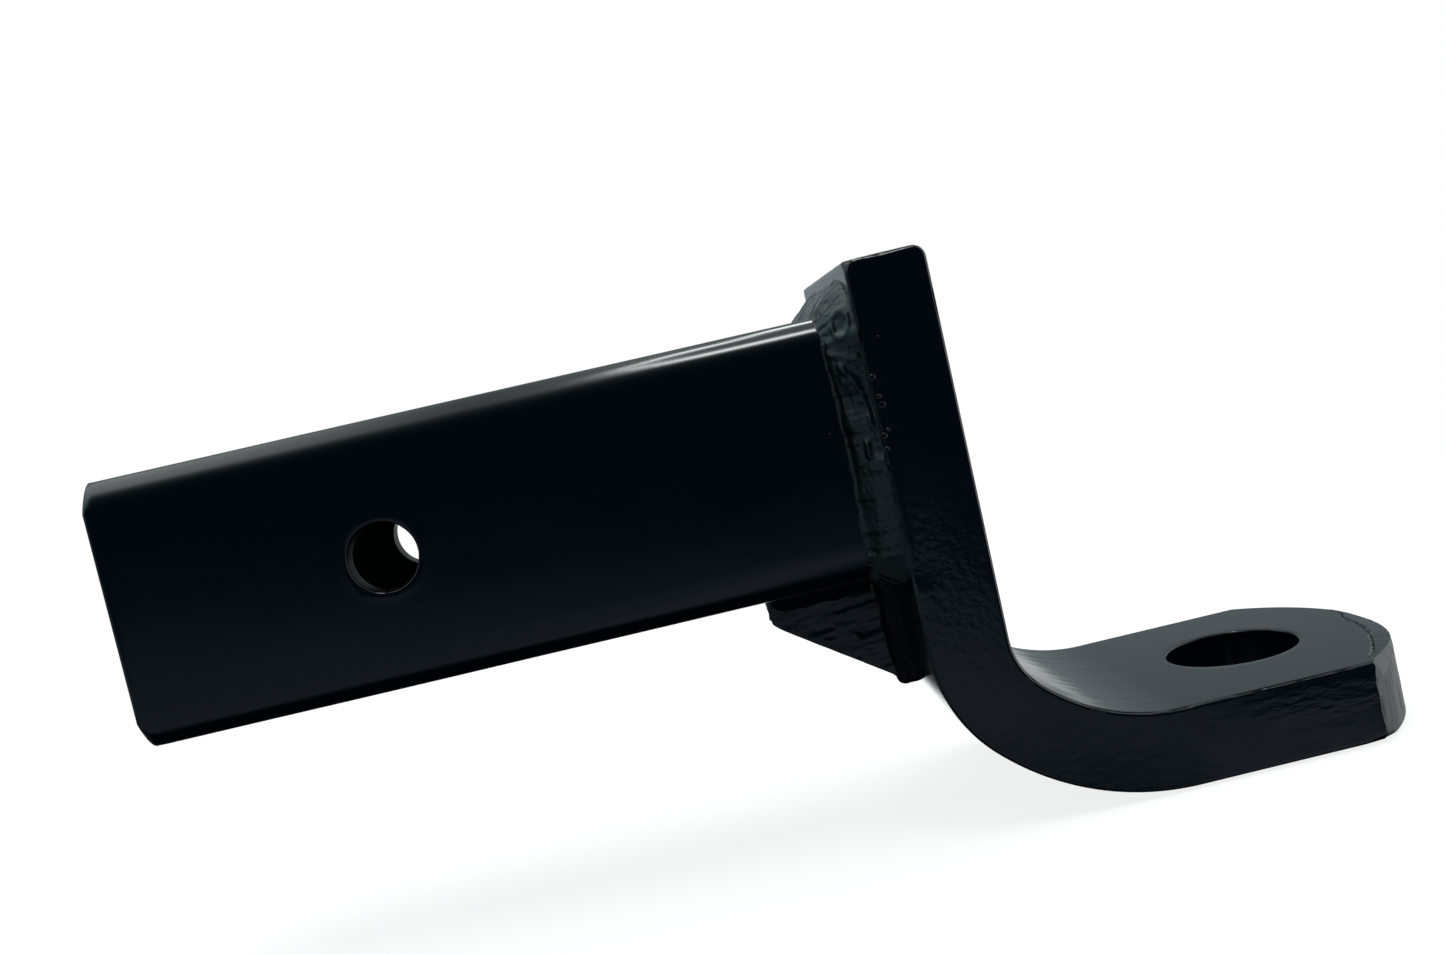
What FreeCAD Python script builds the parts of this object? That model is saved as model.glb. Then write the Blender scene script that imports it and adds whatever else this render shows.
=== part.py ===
import FreeCAD, Part
import math
import os
from FreeCAD import Vector as V

os.makedirs("parts", exist_ok=True)

# Ball mount with a drop: a square hollow shank, a bent flat bar and a gusset, welded together.
# Frame: origin at the middle of the pin hole, on the shank's centre line. +X runs from the shank's open end
# to the ball platform, +Y is the pin's axis, +Z is up. Millimetres. "Right" is -Y, "left" is +Y.

# ---- driving dimensions -------------------------------------------------------------------------------------
SHANK_W = 63.5            # outer width and height of the square tube (2 1/2 in)
SHANK_WALL = 6.35         # wall of the tube (1/4 in)
SHANK_R = 7.0             # outer corner radius of the tube
SHANK_RI = 2.0            # inner corner radius of the tube
SHANK_END_X = -63.5       # open end of the tube, one tube width before the pin hole
SHANK_END_CHAMFER = 0.8   # broken edge all round the open end
PIN_HOLE_R = 8.15         # 16.3 mm hole for a 5/8 in (15.9 mm) pin
PIN_HOLE_CHAMFER = 0.5    # broken edge of the pin hole, both sides

BAR_T = 19.05             # thickness of the bent bar (3/4 in)
BAR_W = 80.0              # width of the bent bar
BAR_BACK_X = 117.0        # back face of the upright, where the tube butts
BAR_TOP_Z = 42.5          # sheared top end of the upright
PLATFORM_Z = -75.5        # top face of the platform
BEND_R1 = 36.0            # outer radius of the bend next to the upright
BEND_R2 = 64.0            # outer radius of the bend next to the platform
BEND_TURN = 45.0          # degrees turned on the first radius
BAR_EDGE_R = 1.0          # rolled edges of the bar
BAR_TOP_BACK_R = 1.6      # rounded edge of the sheared end, back
BAR_TOP_FRONT_R = 3.2     # rounded edge of the sheared end, front
BALL_X = 201.5            # ball hole's centre
BALL_HOLE_R = 16.6        # 33.2 mm hole for a 1 1/4 in (31.75 mm) ball shank
BALL_HOLE_CHAMFER = 0.5
KINK_X = 218.5            # where the flame-cut nose starts, on both long edges
NOSE_X = 238.0            # foremost point of the nose
BEVEL_W = 4.2             # ground bevel on the nose's upper edge, right of the middle: widest, seen from above
BEVEL_H = 1.6             # its depth at the wall

GUSSET_T = 9.5            # gusset plate (3/8 in)
GUSSET_X0 = 85.0          # its blunt front end
GUSSET_TIP_H = 9.6        # height of the blunt front end
GUSSET_LOW_X = 113.5      # where its sloping edge ends
GUSSET_LOW_Z = -61.2      # its lowest edge
GUSSET_SNIP = 9.2         # cropped inner corner that clears the seam weld under the shank

SEAM_A = 8.3              # seam weld round the shank: leg along the shank
SEAM_B = 7.0              # leg on the bar's back face
SEAM_CROWN = 0.8          # convexity at mid face
SEAM_B_TOP = 7.6          # the top seam climbs a little higher
GS_A = 7.4                # gusset to shank weld: leg on the shank's underside
GS_B = 7.2                # leg on the gusset
GS_CROWN = 0.7
GT_A = 4.8                # gusset to bar weld: leg on the gusset
GT_B = 7.0                # leg on the bar
GT_CROWN = 0.7
GT_LOW_Z = -63.2          # lower end of the gusset to bar weld

# ---- derived ------------------------------------------------------------------------------------------------
H = SHANK_W / 2.0
BOTTOM_Z = PLATFORM_Z - BAR_T
TURN = math.radians(BEND_TURN)
BEND_C2 = (BAR_BACK_X + BEND_R1 + (BEND_R2 - BEND_R1) * math.cos(TURN), BOTTOM_Z + BEND_R2)   # centre of the lower arcs
BEND_C1 = (BAR_BACK_X + BEND_R1, BEND_C2[1] - (BEND_R2 - BEND_R1) * math.sin(TURN))           # centre of the upper arcs
BEND_X = BEND_C2[0]       # where the platform's flat starts
BEND_Z = BEND_C1[1]       # where the upright's flat ends
NOSE_D = NOSE_X - KINK_X
NOSE_R = (NOSE_D ** 2 + (BAR_W / 2.0) ** 2) / (2.0 * NOSE_D)
NOSE_CX = NOSE_X - NOSE_R


def rounded_square(x, half, r):
    """Closed wire: a square with rounded corners in the plane X = x, centred on the X axis."""
    c = half - r
    s = r * math.sqrt(0.5)
    e = []
    e.append(Part.LineSegment(V(x, -c, half), V(x, c, half)).toShape())
    e.append(Part.Arc(V(x, c, half), V(x, c + s, c + s), V(x, half, c)).toShape())
    e.append(Part.LineSegment(V(x, half, c), V(x, half, -c)).toShape())
    e.append(Part.Arc(V(x, half, -c), V(x, c + s, -c - s), V(x, c, -half)).toShape())
    e.append(Part.LineSegment(V(x, c, -half), V(x, -c, -half)).toShape())
    e.append(Part.Arc(V(x, -c, -half), V(x, -c - s, -c - s), V(x, -half, -c)).toShape())
    e.append(Part.LineSegment(V(x, -half, -c), V(x, -half, c)).toShape())
    e.append(Part.Arc(V(x, -half, c), V(x, -c - s, c + s), V(x, -c, half)).toShape())
    return Part.Wire(e)


def prism(points, direction):
    pts = [V(*p) for p in points]
    return Part.Face(Part.makePolygon(pts + [pts[0]])).extrude(V(*direction))


def export(shape, name):
    shape = shape.removeSplitter()
    if shape.ShapeType != "Solid":
        shape = shape.Solids[0] if len(shape.Solids) == 1 else shape
    print("%-26s %-9s valid %s  volume %10.1f mm3  box %s" % (
        name, shape.ShapeType, shape.isValid(), shape.Volume,
        [round(v, 2) for v in (shape.BoundBox.XMin, shape.BoundBox.YMin, shape.BoundBox.ZMin,
                               shape.BoundBox.XMax, shape.BoundBox.YMax, shape.BoundBox.ZMax)]))
    shape.exportStep("parts/%s.step" % name)
    return shape


# ---- shank tube ---------------------------------------------------------------------------------------------
tube_len = BAR_BACK_X - SHANK_END_X
outer = Part.Face(rounded_square(SHANK_END_X, H, SHANK_R)).extrude(V(tube_len, 0, 0))
end_edges = [e for e in outer.Edges if abs(e.BoundBox.XMax - SHANK_END_X) < 1e-6 and abs(e.BoundBox.XMin - SHANK_END_X) < 1e-6]
outer = outer.makeChamfer(SHANK_END_CHAMFER, end_edges)
inner = Part.Face(rounded_square(SHANK_END_X - 1, H - SHANK_WALL, SHANK_RI)).extrude(V(tube_len + 2, 0, 0))
shank = outer.cut(inner)
shank = shank.cut(Part.makeCylinder(PIN_HOLE_R, SHANK_W + 20, V(0, -H - 10, 0), V(0, 1, 0)))
for side in (-1, 1):
    cone = Part.makeCone(PIN_HOLE_R + PIN_HOLE_CHAMFER + 1.0, PIN_HOLE_R, PIN_HOLE_CHAMFER + 1.0,
                         V(0, side * (H + 1.0), 0), V(0, -side, 0))
    shank = shank.cut(cone)
shank_tube = export(shank, "shank_tube")

# ---- bent bar -----------------------------------------------------------------------------------------------
s45 = math.sqrt(0.5)
f, b = BAR_BACK_X + BAR_T, BAR_BACK_X
y0 = -BAR_W / 2.0


def on_arc(centre, radius, degrees_below):
    """A point of the bend: the angle is counted from the upright's side (0) to straight down (90)."""
    a = math.radians(degrees_below)
    return V(centre[0] - radius * math.cos(a), y0, centre[1] - radius * math.sin(a))


def bend_arc(centre, radius, a0, a1):
    return Part.Arc(on_arc(centre, radius, a0), on_arc(centre, radius, (a0 + a1) / 2.0), on_arc(centre, radius, a1)).toShape()


prof = [
    Part.LineSegment(V(b, y0, BAR_TOP_Z - BAR_TOP_BACK_R), V(b, y0, BEND_Z)).toShape(),
    bend_arc(BEND_C1, BEND_R1, 0, BEND_TURN),
    bend_arc(BEND_C2, BEND_R2, BEND_TURN, 90),
    Part.LineSegment(V(BEND_X, y0, BOTTOM_Z), V(NOSE_X + 5, y0, BOTTOM_Z)).toShape(),
    Part.LineSegment(V(NOSE_X + 5, y0, BOTTOM_Z), V(NOSE_X + 5, y0, PLATFORM_Z)).toShape(),
    Part.LineSegment(V(NOSE_X + 5, y0, PLATFORM_Z), V(BEND_X, y0, PLATFORM_Z)).toShape(),
    bend_arc(BEND_C2, BEND_R2 - BAR_T, 90, BEND_TURN),
    bend_arc(BEND_C1, BEND_R1 - BAR_T, BEND_TURN, 0),
    Part.LineSegment(V(f, y0, BEND_Z), V(f, y0, BAR_TOP_Z - BAR_TOP_FRONT_R)).toShape(),
    Part.Arc(V(f, y0, BAR_TOP_Z - BAR_TOP_FRONT_R),
             V(f - BAR_TOP_FRONT_R * (1 - s45), y0, BAR_TOP_Z - BAR_TOP_FRONT_R * (1 - s45)),
             V(f - BAR_TOP_FRONT_R, y0, BAR_TOP_Z)).toShape(),
    Part.LineSegment(V(f - BAR_TOP_FRONT_R, y0, BAR_TOP_Z), V(b + BAR_TOP_BACK_R, y0, BAR_TOP_Z)).toShape(),
    Part.Arc(V(b + BAR_TOP_BACK_R, y0, BAR_TOP_Z),
             V(b + BAR_TOP_BACK_R * (1 - s45), y0, BAR_TOP_Z - BAR_TOP_BACK_R * (1 - s45)),
             V(b, y0, BAR_TOP_Z - BAR_TOP_BACK_R)).toShape(),
]
bar = Part.Face(Part.Wire(prof)).extrude(V(0, BAR_W, 0))

# the flame-cut nose: everything in front of the kinks outside the arc goes
nose_outline = [
    Part.LineSegment(V(KINK_X, -BAR_W / 2, 0), V(NOSE_X + 20, -BAR_W / 2, 0)).toShape(),
    Part.LineSegment(V(NOSE_X + 20, -BAR_W / 2, 0), V(NOSE_X + 20, BAR_W / 2, 0)).toShape(),
    Part.LineSegment(V(NOSE_X + 20, BAR_W / 2, 0), V(KINK_X, BAR_W / 2, 0)).toShape(),
    Part.Arc(V(KINK_X, BAR_W / 2, 0), V(NOSE_X, 0, 0), V(KINK_X, -BAR_W / 2, 0)).toShape(),
]
waste = Part.Face(Part.Wire(nose_outline)).extrude(V(0, 0, BAR_T + 20))
waste.translate(V(0, 0, BOTTOM_Z - 10))
bar = bar.cut(waste)

# rolled long edges: on the two flats, the two bends and the upright, both sides
long_edges = []
for e in bar.Edges:
    bb = e.BoundBox
    on_side = abs(abs(bb.YMin) - BAR_W / 2) < 1e-6 and abs(bb.YMax - bb.YMin) < 1e-6
    upright_or_end = bb.ZMax <= BAR_TOP_Z + 1e-6 and not (abs(bb.XMax - bb.XMin) < 1e-6 and bb.XMin > BEND_X)
    if on_side and upright_or_end:
        long_edges.append(e)
bar = bar.makeFillet(BAR_EDGE_R, long_edges)

# the ground bevel on the nose: a cone whose top circle runs from just left of the middle to the right kink
p1 = (NOSE_CX + math.sqrt(NOSE_R ** 2 - 15.0 ** 2), 15.0)          # where the bevel runs out, left of the middle
p3 = (KINK_X + 0.1, -BAR_W / 2 + 0.6)                              # at the right kink
ym = -19.0
p2 = (NOSE_CX + math.sqrt(NOSE_R ** 2 - ym ** 2) - BEVEL_W, ym)     # the widest place
ax_, ay_ = p1
bx_, by_ = p2
cx_, cy_ = p3
dd = 2 * (ax_ * (by_ - cy_) + bx_ * (cy_ - ay_) + cx_ * (ay_ - by_))
ux = ((ax_ ** 2 + ay_ ** 2) * (by_ - cy_) + (bx_ ** 2 + by_ ** 2) * (cy_ - ay_) + (cx_ ** 2 + cy_ ** 2) * (ay_ - by_)) / dd
uy = ((ax_ ** 2 + ay_ ** 2) * (cx_ - bx_) + (bx_ ** 2 + by_ ** 2) * (ax_ - cx_) + (cx_ ** 2 + cy_ ** 2) * (bx_ - ax_)) / dd
ur = math.hypot(ax_ - ux, ay_ - uy)
slope = BEVEL_H / BEVEL_W
depth = 3.0
cone = Part.makeCone(ur + depth / slope, ur, depth, V(ux, uy, PLATFORM_Z - depth), V(0, 0, 1))
slab = Part.makeBox(60, BAR_W + 2, depth + 1, V(ux, -BAR_W / 2 - 1, PLATFORM_Z - depth))
ring = slab.cut(cone.fuse(Part.makeCylinder(ur, 2.0, V(ux, uy, PLATFORM_Z - 0.001), V(0, 0, 1))))
keep_right = Part.makeBox(80, BAR_W, 20, V(KINK_X - 4, -BAR_W / 2 - 1, PLATFORM_Z - 10))
keep_right = keep_right.common(Part.makeBox(80, BAR_W / 2 + 1 + 15.0, 20, V(KINK_X - 4, -BAR_W / 2 - 1, PLATFORM_Z - 10)))
bar = bar.cut(ring.common(keep_right))

# ball hole
bar = bar.cut(Part.makeCylinder(BALL_HOLE_R, BAR_T + 20, V(BALL_X, 0, BOTTOM_Z - 10), V(0, 0, 1)))
for z, s in ((PLATFORM_Z, 1), (BOTTOM_Z, -1)):
    cone = Part.makeCone(BALL_HOLE_R + BALL_HOLE_CHAMFER + 1.0, BALL_HOLE_R, BALL_HOLE_CHAMFER + 1.0,
                         V(BALL_X, 0, z + s * 1.0), V(0, 0, -s))
    bar = bar.cut(cone)
tongue_bar = export(bar, "tongue_bar")

# ---- gusset -------------------------------------------------------------------------------------------------
g0 = -GUSSET_T / 2.0
gusset = prism([
    (GUSSET_X0, g0, -H),
    (GUSSET_X0, g0, -H - GUSSET_TIP_H),
    (GUSSET_LOW_X, g0, GUSSET_LOW_Z),
    (BAR_BACK_X + 6.0, g0, GUSSET_LOW_Z),
    (BAR_BACK_X + 6.0, g0, -H - GUSSET_SNIP),
    (BAR_BACK_X, g0, -H - GUSSET_SNIP),
    (BAR_BACK_X - GUSSET_SNIP, g0, -H),
], (0, GUSSET_T, 0))
# below the bend's start the bar's back curves away, and the plate's edge is fitted to it
gusset = gusset.cut(tongue_bar)
gusset = export(gusset, "gusset")


# ---- seam welds round the shank ------------------------------------------------------------------------------
def fillet_face(corner, leg_a_dir, leg_a, leg_b_dir, leg_b, crown):
    """A convex fillet section: two legs from the corner and a crowned face between their toes."""
    c = V(*corner)
    a = c + V(*leg_a_dir) * leg_a
    b2 = c + V(*leg_b_dir) * leg_b
    mid = (a + b2) * 0.5
    out = V(*leg_a_dir) * leg_b + V(*leg_b_dir) * leg_a
    out.normalize()
    mid = mid + out * crown
    return Part.Face(Part.Wire([
        Part.LineSegment(c, a).toShape(),
        Part.Arc(a, mid, b2).toShape(),
        Part.LineSegment(b2, c).toShape(),
    ]))


def seam(side_y, side_z, b_leg):
    """One side of the seam: a straight bead along a flat of the tube, and half of each rounded corner."""
    half = H - SHANK_R
    face = fillet_face((BAR_BACK_X, side_y * H, side_z * H), (-1, 0, 0), SEAM_A, (0, side_y, side_z), b_leg, SEAM_CROWN)
    # the section stands in the plane through the shank's centre line: it is drawn out both ways along the flat
    along = V(0, side_z, side_y)
    along = V(0, abs(along.y), abs(along.z))
    straight = face.copy()
    straight.translate(along * -half)
    body = straight.extrude(along * (2 * half))
    for end in (-1, 1):
        f0 = face.copy()
        f0.translate(along * (end * half))
        centre = V(0, side_y * half, side_z * half) + along * (end * half)
        # turn 45 degrees about the corner's axis, away from this flat
        n = V(0, side_y, side_z)
        cr = n.cross(along * end)
        ang = 45.0 if cr.x > 0 else -45.0
        body = body.fuse(f0.revolve(centre, V(1, 0, 0), ang))
    return body


seam_right = seam(-1, 0, SEAM_B)
seam_left = seam(1, 0, SEAM_B)
seam_top = seam(0, 1, SEAM_B_TOP)
seam_bottom = seam(0, -1, SEAM_B)
weld_right = export(seam_right, "shank_weld_right")
weld_left = export(seam_left, "shank_weld_left")
weld_top = export(seam_top.cut(weld_right).cut(weld_left), "shank_weld_top")
weld_bottom = export(seam_bottom.cut(gusset), "shank_weld_bottom")

# ---- gusset welds -------------------------------------------------------------------------------------------
for side, word in ((-1, "right"), (1, "left")):
    yg = side * GUSSET_T / 2.0
    face = fillet_face((GUSSET_X0, yg, -H), (0, side, 0), GS_A, (0, 0, -1), GS_B, GS_CROWN)
    bead = face.extrude(V(BAR_BACK_X - GUSSET_X0, 0, 0))
    bead = bead.cut(weld_bottom)
    bead = max(bead.Solids, key=lambda s: s.Volume)
    # the bead stops at the toe of the seam weld under the shank
    bead = bead.common(Part.makeBox(BAR_BACK_X - GT_A - GUSSET_X0, 60, 60, V(GUSSET_X0, -30, -H - 50)))
    bead = max(bead.Solids, key=lambda s: s.Volume)
    gs = export(bead, "gusset_shank_weld_" + word)

    face = fillet_face((BAR_BACK_X, yg, GT_LOW_Z), (-1, 0, 0), GT_A, (0, side, 0), GT_B, GT_CROWN)
    bead = face.extrude(V(0, 0, -H - 1.0 - GT_LOW_Z))
    # where the bar curves away the bead fills the gap behind it
    fill = Part.makeBox(8.0, GT_B, BEND_Z - GT_LOW_Z, V(BAR_BACK_X, min(yg, yg + side * GT_B), GT_LOW_Z))
    bead = bead.fuse(fill)
    bead = bead.cut(weld_bottom).cut(gs).cut(tongue_bar).cut(gusset)
    bead = max(bead.Solids, key=lambda s: s.Volume)
    export(bead, "gusset_tongue_weld_" + word)
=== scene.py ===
import math
import bpy
import bmesh
import numpy as np
from mathutils import Matrix, Vector


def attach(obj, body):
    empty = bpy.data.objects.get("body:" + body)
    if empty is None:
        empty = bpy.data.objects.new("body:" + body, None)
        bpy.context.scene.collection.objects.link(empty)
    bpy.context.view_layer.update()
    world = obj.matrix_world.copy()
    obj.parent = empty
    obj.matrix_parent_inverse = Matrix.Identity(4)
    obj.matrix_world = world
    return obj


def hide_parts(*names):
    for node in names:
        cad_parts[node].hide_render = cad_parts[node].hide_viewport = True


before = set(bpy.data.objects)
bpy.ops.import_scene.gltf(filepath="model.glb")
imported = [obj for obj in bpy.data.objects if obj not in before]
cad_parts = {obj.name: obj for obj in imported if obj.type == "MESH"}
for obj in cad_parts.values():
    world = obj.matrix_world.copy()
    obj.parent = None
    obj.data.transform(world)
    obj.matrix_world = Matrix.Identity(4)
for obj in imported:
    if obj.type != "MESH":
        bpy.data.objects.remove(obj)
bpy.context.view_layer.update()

# ==============================================================================================================
# helpers
# ==============================================================================================================


class Tree:
    """Short calls for building a node tree."""

    def __init__(self, tree):
        self.t = tree
        self.n = tree.nodes
        self.l = tree.links

    def new(self, kind, **values):
        node = self.n.new(kind)
        for k, v in values.items():
            setattr(node, k, v)
        return node

    def put(self, socket, value):
        if isinstance(value, bpy.types.NodeSocket):
            self.l.new(value, socket)
        elif value is not None:
            socket.default_value = value

    def math(self, op, a, b=None, c=None, clamp=False):
        node = self.new("ShaderNodeMath", operation=op, use_clamp=clamp)
        for s, v in zip(node.inputs, (a, b, c)):
            self.put(s, v)
        return node.outputs[0]

    def vmath(self, op, a, b=None):
        node = self.new("ShaderNodeVectorMath", operation=op)
        self.put(node.inputs[0], a)
        if b is not None:
            self.put(node.inputs[1], b)
        return node.outputs["Value"] if op in ("DOT_PRODUCT", "LENGTH", "DISTANCE") else node.outputs[0]

    def step(self, v, lo, hi, out_lo=0.0, out_hi=1.0, smooth=True):
        node = self.new("ShaderNodeMapRange", interpolation_type="SMOOTHSTEP" if smooth else "LINEAR")
        for s, x in zip(("Value", "From Min", "From Max", "To Min", "To Max"), (v, lo, hi, out_lo, out_hi)):
            self.put(node.inputs[s], x)
        return node.outputs[0]

    def mixf(self, f, a, b):
        return self.math("ADD", self.math("MULTIPLY", a, self.math("SUBTRACT", 1.0, f)), self.math("MULTIPLY", b, f))

    def mixc(self, f, a, b, blend="MIX"):
        node = self.new("ShaderNodeMix", data_type="RGBA", blend_type=blend)
        self.put(node.inputs[0], f)
        self.put(node.inputs[6], a)
        self.put(node.inputs[7], b)
        return node.outputs[2]

    def ramp(self, f, stops, interpolation="LINEAR"):
        node = self.new("ShaderNodeValToRGB")
        node.color_ramp.interpolation = interpolation
        el = node.color_ramp.elements
        while len(el) > 1:
            el.remove(el[-1])
        for i, (pos, v) in enumerate(stops):
            e = el[0] if i == 0 else el.new(pos)
            e.position = pos
            e.color = (v, v, v, 1.0) if not hasattr(v, "__len__") else (*v, 1.0)
        self.put(node.inputs[0], f)
        return node.outputs[0]

    def scaled(self, node_out, k):
        node = self.new("ShaderNodeVectorMath", operation="SCALE")
        self.put(node.inputs[0], node_out)
        self.put(node.inputs["Scale"], k)
        return node.outputs[0]


# ==============================================================================================================
# camera: solved from the straight edges and the two holes of the object
# ==============================================================================================================
cam_data = bpy.data.cameras.new("camera")
cam = bpy.data.objects.new("camera", cam_data)
bpy.context.scene.collection.objects.link(cam)
cam_data.sensor_fit = "HORIZONTAL"
cam_data.sensor_width = 36.0
cam_data.lens = 34.0223
cam_data.clip_start = 0.01
cam_data.clip_end = 50.0
right = Vector((0.97350315, -0.0518216, -0.22272438))
up = Vector((0.22551128, 0.05614309, 0.97262152))
back = Vector((-0.03789837, -0.99707697, 0.06634183))
m = Matrix((right, up, back)).transposed().to_4x4()
m.translation = Vector((0.068263, -0.347375, 0.021372))
cam.matrix_world = m
bpy.context.scene.camera = cam

# ==============================================================================================================
# studio: white round the object, and a soft light plan that only the finish reflects
# ==============================================================================================================
scene = bpy.context.scene
scene.view_settings.view_transform = "Standard"
scene.view_settings.look = "None"

world = bpy.data.worlds.new("studio")
scene.world = world
world.use_nodes = True
t = Tree(world.node_tree)
t.n.clear()
out = t.new("ShaderNodeOutputWorld")
coord = t.new("ShaderNodeTexCoord").outputs["Generated"]
d = t.vmath("NORMALIZE", coord)
sep = t.new("ShaderNodeSeparateXYZ")
t.put(sep.inputs[0], d)
dx, dy, dz = sep.outputs
# r: 0 behind the object, 90 overhead, 180 in front, 270 below
r = t.math("FRACT", t.math("ADD", t.math("DIVIDE", t.math("ARCTAN2", dz, dy), 2 * math.pi), 1.0))
deg = t.math("MULTIPLY", r, 360.0)
PEAK = 4.0
band = t.ramp(r, [(a / 360.0, v / PEAK) for a, v in (
    (0, 0.32), (4, 0.38), (8, 0.40), (11, 0.33), (14, 0.28), (20, 0.26), (28, 0.25), (38, 0.34), (50, 0.48), (62, 0.64), (76, 0.80), (92, 0.93), (100, 0.93), (106, 0.83), (114, 0.52),
    (122, 0.25), (131, 0.11), (140, 0.050), (154, 0.015), (170, 0.0), (310, 0.0), (335, 0.01), (350, 0.04), (356, 0.24), (359.9, 0.32))])
band = t.math("MULTIPLY", band, PEAK)
# how bright the overhead light is from the left to the right
along = t.ramp(t.step(dx, -0.5, 0.5, smooth=False), [((v + 0.5), L / PEAK) for v, L in (
    (-0.5, 2.0), (-0.363, 2.3), (-0.29, 2.1), (-0.244, 1.85), (-0.18, 1.2), (-0.141, 0.80), (-0.10, 0.80), (-0.058, 1.0), (-0.02, 1.3), (0.0, 1.5),
    (0.03, 1.4), (0.05, 1.2), (0.12, 1.2), (0.18, 0.55), (0.35, 0.55), (0.5, 0.9))])
along = t.math("MULTIPLY", along, PEAK)
over = t.math("MULTIPLY", t.step(deg, 26.0, 44.0), t.step(deg, 150.0, 110.0))
light = t.math("MULTIPLY", band, t.mixf(over, 1.0, along))
light = t.math("MULTIPLY", light, t.math("SUBTRACT", 1.0, t.math("MULTIPLY", t.step(deg, 13.0, 10.0), t.step(dx, 0.10, 0.25, 0.0, 0.30))))
# two thin strips that run out to the right from one point overhead
half = t.math("ADD", t.math("MULTIPLY", t.step(dx, -0.03, 0.035), 20.0), t.math("MULTIPLY", t.step(dx, 0.06, 0.10), 8.0))
middle = t.math("SUBTRACT", 88.0, t.math("MULTIPLY", t.step(dx, 0.06, 0.10), 7.0))
off = t.math("ABSOLUTE", t.math("SUBTRACT", t.math("ABSOLUTE", t.math("SUBTRACT", deg, middle)), half))
line = t.math("POWER", 2.718, t.math("MULTIPLY", t.math("POWER", t.math("DIVIDE", off, 6.5), 2.0), -1.0))
line = t.math("MULTIPLY", line, t.math("MULTIPLY", t.step(dx, -0.034, -0.006), t.step(dx, 0.24, 0.15, 0.04, 1.0)))
light = t.math("ADD", light, t.math("MULTIPLY", line, t.step(deg, 55.0, 110.0, 10.0, 18.0)))
# low behind the object: white round the middle and to the right of it, weaker further out
low = t.math("POWER", 2.718, t.math("MULTIPLY", t.math("POWER", t.math("DIVIDE", t.math("MAXIMUM", t.math("SUBTRACT", dx, 0.18), 0.0), 0.055), 2.0), -1.0))
low = t.math("MULTIPLY", low, t.step(dx, -0.05, 0.06))
low = t.math("MULTIPLY", low, t.math("MULTIPLY", t.step(deg, 331.0, 339.0), t.step(deg, 352.0, 348.0, 0.0, 1.5)))
glow = t.math("MULTIPLY", t.math("MULTIPLY", t.step(deg, 345.0, 352.0), t.step(deg, 360.0, 356.0)),
              t.math("MULTIPLY", t.step(dx, 0.18, 0.25), t.step(dx, 0.44, 0.36, 0.0, 0.55)))
far_low = t.math("MULTIPLY", t.step(deg, 325.0, 338.0), t.step(dx, 0.36, 0.50, 0.0, 0.28))
light = t.math("ADD", t.math("ADD", light, low), t.math("ADD", glow, far_low))
# pale ground in front: its reflection ends at a nearly level line
u = t.vmath("DOT_PRODUCT", d, (0.22551128, -0.05614309, 0.97262152))
h = t.vmath("DOT_PRODUCT", d, (0.97350315, 0.0518216, -0.22272438))
limit = t.math("MULTIPLY", t.ramp(t.step(h, -0.5, 0.5, smooth=False), [(a + 0.5, v * 5.0) for a, v in (
    (-0.5, 0.116), (-0.40, 0.110), (-0.29, 0.099), (-0.05, 0.077), (0.10, 0.060), (0.14, 0.060), (0.17, 0.080), (0.20, 0.108), (0.26, 0.134),
    (0.35, 0.150), (0.5, 0.157))]), -0.2)
table = t.step(t.math("SUBTRACT", u, limit), 0.028, -0.034)
table_l = t.math("ADD", t.step(h, -0.02, 0.08, 0.180, 0.235), t.step(h, 0.05, 0.40, 0.0, 0.085))
front = t.math("MULTIPLY", t.step(deg, 165.0, 185.0), t.step(deg, 244.0, 226.0))
shade = t.math("POWER", 2.718, t.math("MULTIPLY", t.math("POWER", t.math("DIVIDE", t.math("SUBTRACT", h, 0.27), 0.09), 2.0), -1.0))
shade = t.math("SUBTRACT", 1.0, t.math("MULTIPLY", shade, t.step(u, -0.188, -0.206, 0.0, 0.95)))
table = t.math("MULTIPLY", t.math("MULTIPLY", table, table_l), t.math("MULTIPLY", front, shade))
# near the two poles of r the plan turns into a plain dome
side = t.step(t.math("ABSOLUTE", dx), 0.52, 0.84)
high = t.step(dz, -1.0, 1.0, smooth=False)
dome_l = t.ramp(high, [((a + 1) / 2, v / PEAK) for a, v in (
    (-1.0, 0.04), (-0.5, 0.12), (-0.25, 0.07), (-0.19, 0.12), (-0.155, 0.28), (-0.11, 0.34), (-0.07, 0.28), (-0.03, 0.17), (0.0, 0.23), (0.12, 0.25),
    (0.44, 0.8), (0.72, 1.4), (1.0, 1.4))])
dome_r = t.ramp(high, [((a + 1) / 2, v / PEAK) for a, v in (
    (-1.0, 0.04), (-0.6, 0.14), (-0.35, 0.46), (-0.15, 0.60), (0.0, 0.62), (0.3, 0.9), (0.72, 1.3), (1.0, 1.4))])
rightward = t.step(dx, -0.1, 0.1)
dome = t.math("MULTIPLY", t.mixf(rightward, dome_l, dome_r), t.math("MULTIPLY", PEAK, t.step(dx, 0.88, 0.98, 1.0, 2.1)))
light = t.mixf(side, light, dome)
table = t.math("MULTIPLY", table, t.math("SUBTRACT", 1.0, side))
tint = t.mixc(t.math("MULTIPLY", side, t.math("SUBTRACT", 1.0, rightward)), (0.95, 1.0, 0.99, 1.0), (0.68, 0.98, 1.06, 1.0))
navy = t.scaled((0.008, 0.045, 0.075), t.step(deg, 264.0, 230.0, 0.15, 1.0))
total = t.vmath("ADD", t.scaled(tint, light), t.vmath("ADD", t.scaled((0.88, 0.97, 1.12), table), navy))
bg_light = t.new("ShaderNodeBackground")
t.put(bg_light.inputs["Color"], total)
bg_light.inputs["Strength"].default_value = 1.0
bg_seen = t.new("ShaderNodeBackground")
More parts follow.
